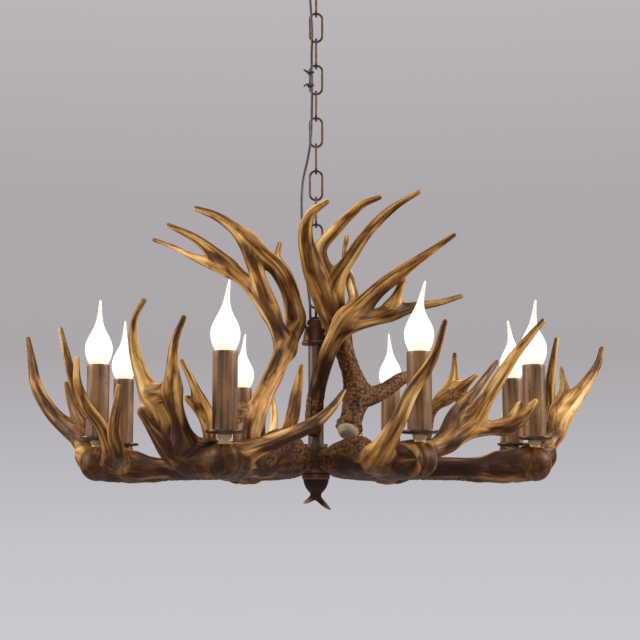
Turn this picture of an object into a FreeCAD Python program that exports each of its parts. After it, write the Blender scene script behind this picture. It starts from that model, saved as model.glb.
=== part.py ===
import FreeCAD, Part
import Sketcher
import math
import os

# Antler chandelier: a chain lamp of eight candle antlers round a hub and three
# upright crown antlers on a column. Millimetres, +Z up. The origin is the middle of
# the ceiling plane, +Y points away from the viewer of the front.
#
# "rise" is a height above the eye-level plane that lies just above the finial's tips;
# "out" is a distance beyond the circle on which the candles stand; "swing" is an angle
# in degrees from an antler's own spoke, anticlockwise seen from above.

SIZES = {
    # ceiling end
    "bracket_length": 84, "bracket_width": 18, "bracket_thick": 2.5,
    "bracket_screw_spacing": 60, "bracket_hole_radius": 2.3,
    "canopy_radius": 55, "canopy_depth": 28, "canopy_wall": 1.5, "canopy_shoulder": 10,
    "nipple_radius": 5, "nipple_bore": 3.4,
    "nut_radius": 9, "nut_height": 5, "cord_hole_radius": 7,
    "cord_hole_x": -10, "cord_hole_y": -13,
    "loop_radius": 10, "loop_wire_radius": 2, "loop_neck_radius": 6.5, "loop_neck_height": 4.5,
    "loop_stem_radius": 4, "loop_stem_length": 10, "canopy_loop_drop": 16,
    # chain
    "link_count": 12, "link_length": 48, "link_width": 22, "link_wire_radius": 1.7,
    "link_gap": 0.45,
    "cord_radius": 1.9,
    "tie_width": 3, "tie_wall": 1.0, "tie_pitch": 20,
    # column
    "collar_rise": 263, "collar_height": 37, "collar_rim_radius": 21.5, "collar_rim_height": 5,
    "bell_base_radius": 19.5, "bell_top_radius": 13,
    "column_radius": 11.5, "column_wall": 2.5, "column_top_rise": 240, "column_foot_rise": 60,
    "column_nut_radius": 17, "column_nut_height": 6,
    "hub_reach": 46, "hub_wall": 4, "hub_top_rise": 74, "hub_foot_rise": 42,
    "cover_thick": 4, "cover_radius": 44,
    "finial_radius": 20.5, "finial_rim_height": 4, "finial_neck_radius": 7,
    "finial_height": 29, "finial_stem_radius": 5, "finial_stem_length": 12,
    # candles
    "candle_count": 8, "candle_radius": 325, "first_candle_angle": 22.5,
    "seat_rise": 62, "seat_radius": 14, "seat_foot_rise": 42,
    "ferrule_radius": 9.5, "ferrule_height": 19.5, "ferrule_foot_radius": 12.5,
    "ferrule_foot_height": 8,
    "pan_radius": 24.5, "pan_thick": 2, "pan_lip": 1.6, "pan_lip_height": 2.5,
    "candle_nipple_radius": 5, "candle_nipple_bore": 3.6, "candle_nipple_bite": 11,
    "sleeve_radius": 15.9, "sleeve_wall": 1.6, "sleeve_height": 102,
    "holder_radius": 13, "holder_shortfall": 4, "cap_radius": 7, "cap_length": 26,
    "bulb_radius": 19, "bulb_height": 92, "bulb_tip_radius": 1.2,
    # antlers
    "root_radius": 16.5, "root_rise": 56, "root_straight": 12,
    "antler_screw_radius": 2.9, "antler_screw_bite": 24,
    "antler_head_radius": 5.5, "antler_head_height": 4,
    "crown_pad_radius": 12, "crown_pad_rise": 64, "crown_pad_foot_rise": 44,
    "crown_pad_reach": 218, "crown_pad_swing": -1.5,
    "boss_radius": 7.5, "pin_radius": 3, "pin_depth": 7, "pin_bite": 13,
    "left_pin_rise": 252, "centre_pin_rise": 248, "right_pin_rise": 120,
    # clearances
    "fit": 0.3, "slip": 0.12,
}

doc = FreeCAD.newDocument("antler_chandelier")
sizes = doc.addObject("Spreadsheet::Sheet", "sizes")
for row, (alias, value) in enumerate(SIZES.items(), start=1):
    sizes.set(f"A{row}", alias)
    sizes.set(f"B{row}", str(value))
    sizes.setAlias(f"B{row}", alias)
doc.recompute()

Z_AXIS = FreeCAD.Vector(0, 0, 1)
nodes = []


def size(alias):
    """The value of a cell of the sheet."""
    return float(getattr(sizes, alias))


# ---------------------------------------------------------------- heights along the axis
link_wire = 2 * size("link_wire_radius")
link_bar_spacing = size("link_length") - link_wire
link_advance = link_bar_spacing - link_wire - size("link_gap")
loop_to_link = size("loop_wire_radius") + size("link_wire_radius") + size("link_gap")

canopy_loop_centre = -size("canopy_depth") - size("canopy_loop_drop")
canopy_loop_bar = canopy_loop_centre - size("loop_radius")
first_link_top = canopy_loop_bar + loop_to_link
link_count = int(size("link_count"))
last_link_foot = first_link_top - (link_count - 1) * link_advance - link_bar_spacing
top_loop_centre = last_link_foot + loop_to_link - size("loop_radius")
collar_top = top_loop_centre - size("loop_radius") - size("loop_wire_radius") - 0.2
level = collar_top - size("collar_rise")
collar_foot = collar_top - size("collar_height")

seat_z = level + size("seat_rise")
pan_z = seat_z + size("ferrule_height")
sleeve_z = pan_z + size("pan_thick")
sleeve_top_z = sleeve_z + size("sleeve_height")
holder_top_z = sleeve_top_z - size("holder_shortfall")


# ---------------------------------------------------------------- making helpers
def placed(x=0.0, y=0.0, z=0.0, axis=Z_AXIS, turn=0.0):
    """A placement at a point, turned in degrees about an axis."""
    return FreeCAD.Placement(FreeCAD.Vector(x, y, z), FreeCAD.Rotation(axis, turn))


def cylinder(name, radius, height, place):
    """A Part cylinder whose radius and height are expressions on the sheet."""
    item = doc.addObject("Part::Cylinder", name)
    item.setExpression("Radius", radius)
    item.setExpression("Height", height)
    item.Placement = place
    return item


def cone(name, foot_radius, top_radius, height, place):
    """A Part cone bound to the sheet."""
    item = doc.addObject("Part::Cone", name)
    item.setExpression("Radius1", foot_radius)
    item.setExpression("Radius2", top_radius)
    item.setExpression("Height", height)
    item.Placement = place
    return item


def torus(name, ring_radius, wire_radius, place):
    """A Part torus bound to the sheet."""
    item = doc.addObject("Part::Torus", name)
    item.setExpression("Radius1", ring_radius)
    item.setExpression("Radius2", wire_radius)
    item.Placement = place
    return item


def cut(name, base, tool):
    """Base less tool."""
    item = doc.addObject("Part::Cut", name)
    item.Base = base
    item.Tool = tool
    return item


def fuse(name, *pieces):
    """All the pieces as one."""
    item = doc.addObject("Part::MultiFuse", name)
    item.Shapes = list(pieces)
    return item


def feature(name, shape):
    """A plain shape as an object of the document."""
    item = doc.addObject("Part::Feature", name)
    item.Shape = shape
    return item


def node(item, label):
    """Marks an object as a piece to be written, under its label."""
    item.Label = label
    nodes.append(item)
    return item


def sketch_on(body, name, role):
    """A sketch on one of a body's origin planes."""
    plane = [f for f in body.Origin.OriginFeatures if f.Role == role][0]
    sketch = body.newObject("Sketcher::SketchObject", name)
    sketch.AttachmentSupport = [(plane, "")]
    sketch.MapMode = "FlatFace"
    return sketch


def pad(body, name, sketch, length, down=False):
    """Pads a sketch by a length that is an expression on the sheet."""
    item = body.newObject("PartDesign::Pad", name)
    item.Profile = sketch
    item.setExpression("Length", length)
    item.Reversed = down
    sketch.Visibility = False
    return item


def pocket(body, name, sketch, length, upwards):
    """Cuts a sketch out by a length that is an expression on the sheet."""
    item = body.newObject("PartDesign::Pocket", name)
    item.Profile = sketch
    item.setExpression("Length", length)
    item.Reversed = upwards
    return item


def bound_circle(sketch, x, y, radius):
    """A circle whose centre and radius are expressions on the sheet."""
    circle = sketch.addGeometry(Part.Circle(FreeCAD.Vector(1, 1, 0), Z_AXIS, 2))
    for kind, expression in (("DistanceX", x), ("DistanceY", y)):
        if expression == "0":
            axis = -2 if kind == "DistanceX" else -1
            sketch.addConstraint(Sketcher.Constraint("PointOnObject", circle, 3, axis))
        else:
            offset = sketch.addConstraint(
                Sketcher.Constraint(kind, -1, 1, circle, 3, 1.0)
            )
            sketch.setExpression(f"Constraints[{offset}]", expression)
    width = sketch.addConstraint(Sketcher.Constraint("Radius", circle, 2.0))
    sketch.setExpression(f"Constraints[{width}]", radius)


def bound_polygon(sketch, sides, reach):
    """A regular polygon round the origin, one flat facing each candle's spoke.

    Its inscribed circle has the radius reach, an expression on the sheet.
    """
    guess = 40.0
    half = math.pi / sides
    first = math.radians(size("first_candle_angle")) - half
    corners = [
        FreeCAD.Vector(math.cos(first + 2 * half * i), math.sin(first + 2 * half * i), 0) * guess
        for i in range(sides)
    ]
    lines = [
        sketch.addGeometry(Part.LineSegment(corners[i], corners[(i + 1) % sides]))
        for i in range(sides)
    ]
    for i, line in enumerate(lines):
        following = lines[(i + 1) % sides]
        sketch.addConstraint(Sketcher.Constraint("Coincident", line, 2, following, 1))
    for i, line in enumerate(lines):
        angle = first + 2 * half * i
        for kind, turn, start in (
            ("DistanceX", "cos", guess * math.cos(angle)),
            ("DistanceY", "sin", guess * math.sin(angle)),
        ):
            at = sketch.addConstraint(Sketcher.Constraint(kind, -1, 1, line, 1, start))
            sketch.setExpression(
                f"Constraints[{at}]",
                f"({reach}) / cos({math.degrees(half)}) * {turn}({math.degrees(angle)})",
            )


# ---------------------------------------------------------------- ceiling end
bracket = doc.addObject("PartDesign::Body", "ceiling_bracket")
bar_sketch = sketch_on(bracket, "bar_outline", "XY_Plane")
bar_ends = [FreeCAD.Vector(x, y, 0) for x, y in ((-1, -1), (1, -1), (1, 1), (-1, 1))]
for i in range(4):
    bar_sketch.addGeometry(Part.LineSegment(bar_ends[i], bar_ends[(i + 1) % 4]))
for i in range(4):
    bar_sketch.addConstraint(Sketcher.Constraint("Coincident", i, 2, (i + 1) % 4, 1))
for i, kind in enumerate(("Horizontal", "Vertical", "Horizontal", "Vertical")):
    bar_sketch.addConstraint(Sketcher.Constraint(kind, i))
bar_sketch.addConstraint(Sketcher.Constraint("Symmetric", 0, 1, 2, 1, -1, 1))
bar_long = bar_sketch.addConstraint(Sketcher.Constraint("DistanceX", 0, 1, 0, 2, 2.0))
bar_wide = bar_sketch.addConstraint(Sketcher.Constraint("DistanceY", 1, 1, 1, 2, 2.0))
bar_sketch.setExpression(f"Constraints[{bar_long}]", "sizes.bracket_length")
bar_sketch.setExpression(f"Constraints[{bar_wide}]", "sizes.bracket_width")
pad(bracket, "bar", bar_sketch, "sizes.bracket_thick", down=True)
hole_sketch = sketch_on(bracket, "bar_holes", "XY_Plane")
bound_circle(hole_sketch, "sizes.bracket_screw_spacing / 2", "0", "sizes.bracket_hole_radius")
bound_circle(hole_sketch, "-sizes.bracket_screw_spacing / 2", "0", "sizes.bracket_hole_radius")
bound_circle(hole_sketch, "0", "0", "sizes.nipple_radius + sizes.slip")
pocket(bracket, "bar_drilling", hole_sketch, "sizes.bracket_thick", upwards=False)
node(bracket, "ceiling_bracket")

canopy_full = cylinder("canopy_full", "sizes.canopy_radius", "sizes.canopy_depth",
                       placed(z=-size("canopy_depth")))
canopy_round = doc.addObject("Part::Fillet", "canopy_round")
canopy_room = cylinder("canopy_room", "sizes.canopy_radius - sizes.canopy_wall",
                       "sizes.canopy_depth - sizes.canopy_wall",
                       placed(z=-size("canopy_depth") + size("canopy_wall")))
canopy_room_round = doc.addObject("Part::Fillet", "canopy_room_round")
doc.recompute()


def foot_edge(shape):
    """The number of a cylinder's lower circular edge."""
    lowest = shape.BoundBox.ZMin
    for number, edge in enumerate(shape.Edges, start=1):
        if edge.BoundBox.ZMax < lowest + 0.001:
            return number
    raise ValueError("no lower edge")


for rounded, base, radius in (
    (canopy_round, canopy_full, size("canopy_shoulder")),
    (canopy_room_round, canopy_room, size("canopy_shoulder") - size("canopy_wall")),
):
    rounded.Base = base
    rounded.Edges = [(foot_edge(base.Shape), radius, radius)]
canopy_shell = cut("canopy_shell", canopy_round, canopy_room_round)
canopy_bore = cylinder("canopy_bore", "sizes.nipple_radius + sizes.slip", "sizes.canopy_depth",
                       placed(z=-1.5 * size("canopy_depth")))
cord_hole = cylinder("cord_hole", "sizes.cord_hole_radius", "sizes.canopy_depth",
                     placed(size("cord_hole_x"), size("cord_hole_y"), -1.5 * size("canopy_depth")))
node(cut("canopy", canopy_shell, fuse("canopy_holes", canopy_bore, cord_hole)), "canopy")

nipple_foot = -size("canopy_depth") - size("loop_neck_height")
nipple_rod = cylinder("nipple_rod", "sizes.nipple_radius",
                      "sizes.canopy_depth + sizes.loop_neck_height", placed(z=nipple_foot))
nipple_bore = cylinder("nipple_bore", "sizes.nipple_bore",
                       "sizes.canopy_depth + sizes.loop_neck_height", placed(z=nipple_foot))
node(cut("canopy_nipple", nipple_rod, nipple_bore), "canopy_nipple")

nut_disc = cylinder("nut_disc", "sizes.nut_radius", "sizes.nut_height",
                    placed(z=-size("bracket_thick") - size("nut_height")))
nut_bore = cylinder("nut_bore", "sizes.nipple_radius + sizes.slip", "sizes.nut_height",
                    placed(z=-size("bracket_thick") - size("nut_height")))
node(cut("canopy_nut", nut_disc, nut_bore), "canopy_nut")

EDGE_ON = FreeCAD.Vector(0, 1, 0)
FACE_ON = FreeCAD.Vector(1, 0, 0)

canopy_ring = torus("canopy_ring", "sizes.loop_radius", "sizes.loop_wire_radius",
                    placed(z=canopy_loop_centre, axis=FACE_ON, turn=90))
canopy_neck = cylinder("canopy_neck",
                       "sizes.nipple_radius + sizes.loop_wire_radius + 2 * sizes.slip",
                       "sizes.canopy_loop_drop - sizes.loop_radius + sizes.loop_wire_radius",
                       placed(z=-size("canopy_depth") - size("canopy_loop_drop") + size("loop_radius")
                              - size("loop_wire_radius")))
canopy_neck_bore = cylinder("canopy_neck_bore", "sizes.nipple_radius + sizes.slip",
                            "sizes.loop_neck_height + sizes.fit",
                            placed(z=nipple_foot - size("fit")))
canopy_loop_solid = fuse("canopy_loop_solid", canopy_ring, canopy_neck)
node(cut("canopy_loop", canopy_loop_solid, canopy_neck_bore), "canopy_loop")


# ---------------------------------------------------------------- chain
def link_shape():
    """An upright oval link in the XZ plane, its upper bar's middle at the origin.

    Two straight sides and two half rings, swept with the wire's round section.
    """
    turn_radius = size("link_width") / 2 - size("link_wire_radius")
    straight = link_bar_spacing - 2 * turn_radius
    wire = size("link_wire_radius")
    ring = Part.makeTorus(turn_radius, wire, FreeCAD.Vector(0, 0, 0), FreeCAD.Vector(0, 1, 0))
    big = 2 * size("link_width")
    upper = Part.makeBox(big, big, big, FreeCAD.Vector(-big / 2, -big / 2, 0))
    lower = Part.makeBox(big, big, big, FreeCAD.Vector(-big / 2, -big / 2, -big))
    top_half = ring.common(upper)
    foot_half = ring.common(lower)
    top_half.translate(FreeCAD.Vector(0, 0, -turn_radius))
    foot_half.translate(FreeCAD.Vector(0, 0, -turn_radius - straight))
    sides = [
        Part.makeCylinder(wire, straight,
                          FreeCAD.Vector(side * turn_radius, 0, -turn_radius - straight))
        for side in (-1, 1)
    ]
    return top_half.fuse([foot_half] + sides)


link_base = link_shape()
for number in range(1, link_count + 1):
    link = feature(f"chain_link_{number:02d}", link_base.copy())
    quarter = 90 if number % 2 else 0
    link.Placement = placed(z=first_link_top - (number - 1) * link_advance, turn=quarter)
    node(link, f"chain_link_{number:02d}")

# ---------------------------------------------------------------- cord beside the chain
# The cord's points, chosen by hand: (x, y, drop below the ceiling). It comes out of the
# canopy, runs close beside the chain, bows out to the left above the column and comes
# back to the collar's top.
cord_points = [
    (-9.5, -12.5, -20.0),
    (-10.5, -12.0, -48.0),
    (-8.5, -9.0, -80.0),
    (-6.0, -6.8, -118.0),
    (-6.9, -6.4, -160.0),
    (-6.1, -6.9, -202.0),
    (-6.6, -6.4, -243.0),
    (-7.6, -7.0, -283.0),
    (-12.6, -7.8, -319.0),
    (-19.2, -8.6, -350.0),
    (-21.6, -8.8, -386.0),
    (-20.4, -8.4, -424.0),
    (-17.6, -7.6, -464.0),
    (-13.2, -6.8, -503.0),
    (-9.2, -6.2, -536.0),
    (-8.2, -6.0, collar_top),
]


def cord_path(points):
    """Straight runs joined by tangent arcs, as one wire, and the arcs' radii."""
    places = [FreeCAD.Vector(*p) for p in points]
    edges, radii = [], []
    start = places[0]
    for before, corner, after in zip(places, places[1:], places[2:]):
        into, onto = corner - before, after - corner
        shorter = min(into.Length, onto.Length)
        turn = into.getAngle(onto)
        reach = 0.45 * shorter
        radius = reach / math.tan(turn / 2)
        radii.append(radius)
        into.normalize()
        onto.normalize()
        first, last = corner - into * reach, corner + onto * reach
        inward = onto - into
        inward.normalize()
        middle = corner + inward * (radius / math.cos(turn / 2) - radius)
        edges.append(Part.LineSegment(start, first).toShape())
        edges.append(Part.Arc(first, middle, last).toShape())
        start = last
    edges.append(Part.LineSegment(start, places[-1]).toShape())
    return Part.Wire(edges), radii


cord_wire, cord_radii = cord_path(cord_points)
cord_section = Part.Wire([Part.makeCircle(
    size("cord_radius"), cord_wire.Vertexes[0].Point,
    FreeCAD.Vector(*cord_points[1]) - FreeCAD.Vector(*cord_points[0]))])
cord_tube = cord_wire.makePipeShell([cord_section], True, False)
print("cord bend radii", [round(r) for r in cord_radii], "length", round(cord_wire.Length, 1))
end_slice = Part.makeBox(60, 60, 20, FreeCAD.Vector(-40, -40, collar_top - 20))
node(feature("power_cord", cord_tube.cut(end_slice)), "power_cord")

# Ties: flat bands round the cord and the left side of the fourth link.
tied_link_centre = first_link_top - 3 * link_advance - link_bar_spacing / 2
tie_left = -size("link_width") / 2 - size("fit")
tie_right = cord_points[5][0] + size("cord_radius") + size("fit")
tie_front = cord_points[5][1] - size("cord_radius") - size("fit")
tie_back = size("link_wire_radius") + size("fit")
ties = []
for step in (-0.5, 0.5):
    tie_z = tied_link_centre + step * size("tie_pitch") - size("tie_width") / 2
    corner = FreeCAD.Vector(tie_left, tie_front, tie_z)
    hollow = Part.makeBox(tie_right - tie_left, tie_back - tie_front, size("tie_width"), corner)
    wall = size("tie_wall")
    band = Part.makeBox(tie_right - tie_left + 2 * wall, tie_back - tie_front + 2 * wall,
                        size("tie_width"), corner - FreeCAD.Vector(wall, wall, 0))
    ties.append(band.cut(hollow))
node(feature("cable_ties", Part.makeCompound(ties)), "cable_ties")

# ---------------------------------------------------------------- column, collar and hub
top_turn = 90 if link_count % 2 else 0
top_ring = torus("top_ring", "sizes.loop_radius", "sizes.loop_wire_radius",
                 FreeCAD.Placement(FreeCAD.Vector(0, 0, top_loop_centre),
                                   FreeCAD.Rotation(Z_AXIS, 90 - top_turn)
                                   .multiply(FreeCAD.Rotation(FACE_ON, 90))))
top_neck = cylinder("top_neck", "sizes.loop_neck_radius", "sizes.loop_neck_height", placed(z=collar_top))
top_stem = cylinder("top_stem", "sizes.loop_stem_radius", "sizes.loop_stem_length",
                    placed(z=collar_top - size("loop_stem_length")))
node(fuse("top_loop", top_ring, top_neck, top_stem), "top_loop")

column_foot = level + size("column_foot_rise")
column_rod = cylinder("column_rod", "sizes.column_radius",
                      "sizes.column_top_rise - sizes.column_foot_rise", placed(z=column_foot))
column_bore = cylinder("column_bore", "sizes.column_radius - sizes.column_wall",
                       "sizes.column_top_rise - sizes.column_foot_rise", placed(z=column_foot))
column_tube = cut("column_tube", column_rod, column_bore)

rim = cylinder("collar_rim", "sizes.collar_rim_radius", "sizes.collar_rim_height", placed(z=collar_foot))
bell = cone("collar_bell", "sizes.bell_base_radius", "sizes.bell_top_radius",
            "sizes.collar_height - sizes.collar_rim_height",
            placed(z=collar_foot + size("collar_rim_height")))
collar_socket = cylinder("collar_socket", "sizes.column_radius + sizes.slip",
                         "sizes.column_top_rise - sizes.collar_rise + sizes.collar_height",
                         placed(z=collar_foot))
stem_hole = cylinder("stem_hole", "sizes.loop_stem_radius + sizes.slip", "sizes.loop_stem_length",
                     placed(z=collar_top - size("loop_stem_length")))
collar_solid = cut("collar_solid", fuse("collar_body", rim, bell),
                   fuse("collar_bores", collar_socket, stem_hole))

sides = int(size("candle_count"))
hub = doc.addObject("PartDesign::Body", "hub")
hub_outline = sketch_on(hub, "hub_outline", "XY_Plane")
bound_polygon(hub_outline, sides, "sizes.hub_reach")
pad(hub, "hub_block", hub_outline, "sizes.hub_top_rise - sizes.hub_foot_rise", down=True)
hub_room = sketch_on(hub, "hub_room", "XY_Plane")
hub_room.AttachmentOffset = placed(z=-size("hub_wall"))
bound_polygon(hub_room, sides, "sizes.hub_reach - sizes.hub_wall")
pocket(hub, "hub_hollow", hub_room, "sizes.hub_top_rise - sizes.hub_foot_rise", upwards=False)
hub_bore = sketch_on(hub, "hub_bore", "XY_Plane")
bound_circle(hub_bore, "0", "0", "sizes.column_radius + sizes.slip")
pocket(hub, "hub_drilling", hub_bore, "sizes.hub_wall", upwards=False)
doc.recompute()

hub_top = level + size("hub_top_rise")
nut_rings = []
for number, foot in enumerate((hub_top, hub_top - size("hub_wall") - size("column_nut_height"))):
    ring = cylinder(f"column_nut_disc_{number}", "sizes.column_nut_radius",
                    "sizes.column_nut_height", placed(z=foot))
    bore = cylinder(f"column_nut_bore_{number}", "sizes.column_radius + sizes.slip",
                    "sizes.column_nut_height", placed(z=foot))
    nut_rings.append(cut(f"column_nut_{number}", ring, bore))

cover_z = level + size("hub_foot_rise") - size("cover_thick")
cover_disc = cylinder("cover_disc", "sizes.cover_radius", "sizes.cover_thick", placed(z=cover_z))
cover_bore = cylinder("cover_bore", "sizes.finial_stem_radius + sizes.slip", "sizes.cover_thick",
                      placed(z=cover_z))
node(cut("hub_cover", cover_disc, cover_bore), "hub_cover")


def limb(points):
    """A tapering round limb through (place, radius) pairs, as a closed loft.

    Each section is square to the path and carried on without twist.
    """
    places = [p for p, _ in points]
    sections = []
    frame, heading = None, None
    for i, (place, radius) in enumerate(points):
        ahead = places[min(i + 1, len(places) - 1)] - places[max(i - 1, 0)]
        ahead.normalize()
        if frame is None:
            frame = FreeCAD.Rotation(Z_AXIS, ahead)
        else:
            frame = FreeCAD.Rotation(heading, ahead).multiply(frame)
        heading = ahead
        ring = Part.makeCircle(radius)
        ring.Placement = FreeCAD.Placement(place, frame)
        sections.append(Part.Wire([ring]))
    return Part.makeLoft(sections, True, False, False, 3)


def fused(first, *others):
    """One solid out of solids that run into each other."""
    whole = first
    for other in others:
        whole = whole.fuse(other)
    return whole


def grown_together(shapes, spine):
    """One antler out of its limbs, which run into each other.

    Where two skins nearly touch, the joining depends on its order, so the orders are
    tried by turns until the solid is whole and holds every place of the spine.
    """
    for turn in range(len(shapes)):
        whole = fused(*shapes[turn:], *shapes[:turn])
        if (whole.isValid() and len(whole.Solids) == 1
                and all(whole.isInside(place, 0.05, True) for place in spine)):
            break
    return whole


finial_top = cover_z
finial_rim_foot = finial_top - size("finial_rim_height")
finial_drop = size("finial_height") - size("finial_rim_height")
finial_foot = finial_rim_foot - finial_drop
finial_rim = cylinder("finial_rim", "sizes.finial_radius", "sizes.finial_rim_height",
                      placed(z=finial_rim_foot))
finial_cone = cone("finial_cone", "sizes.finial_neck_radius", "sizes.finial_radius - 1",
                   "sizes.finial_height - sizes.finial_rim_height", placed(z=finial_foot))
finial_stem = cylinder("finial_stem", "sizes.finial_stem_radius", "sizes.finial_stem_length",
                       placed(z=finial_top))
doc.recompute()

# The two crossed tips under the finial: (x, y, height above its foot, radius).
FINIAL_TIPS = [
    [(3, -1.5, 8, 5.2), (1, -1.5, -1, 5.0), (-6, -1.5, -7.5, 4.2), (-12.8, -2, -12.3, 3.0),
     (-17, -2, -15, 1.2)],
    [(-3, 1.5, 8, 5.2), (-1, 1.5, -1, 5.0), (7.4, 1.5, -12, 4.2), (15.8, 2, -19.7, 3.0),
     (21, 2, -24, 1.2)],
]
tips = [
    limb([(FreeCAD.Vector(x, y, finial_foot + up), radius) for x, y, up, radius in points])
    for points in FINIAL_TIPS
]
finial = fused(finial_rim.Shape, finial_cone.Shape, finial_stem.Shape, *tips)
node(feature("finial", finial), "finial")

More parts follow.
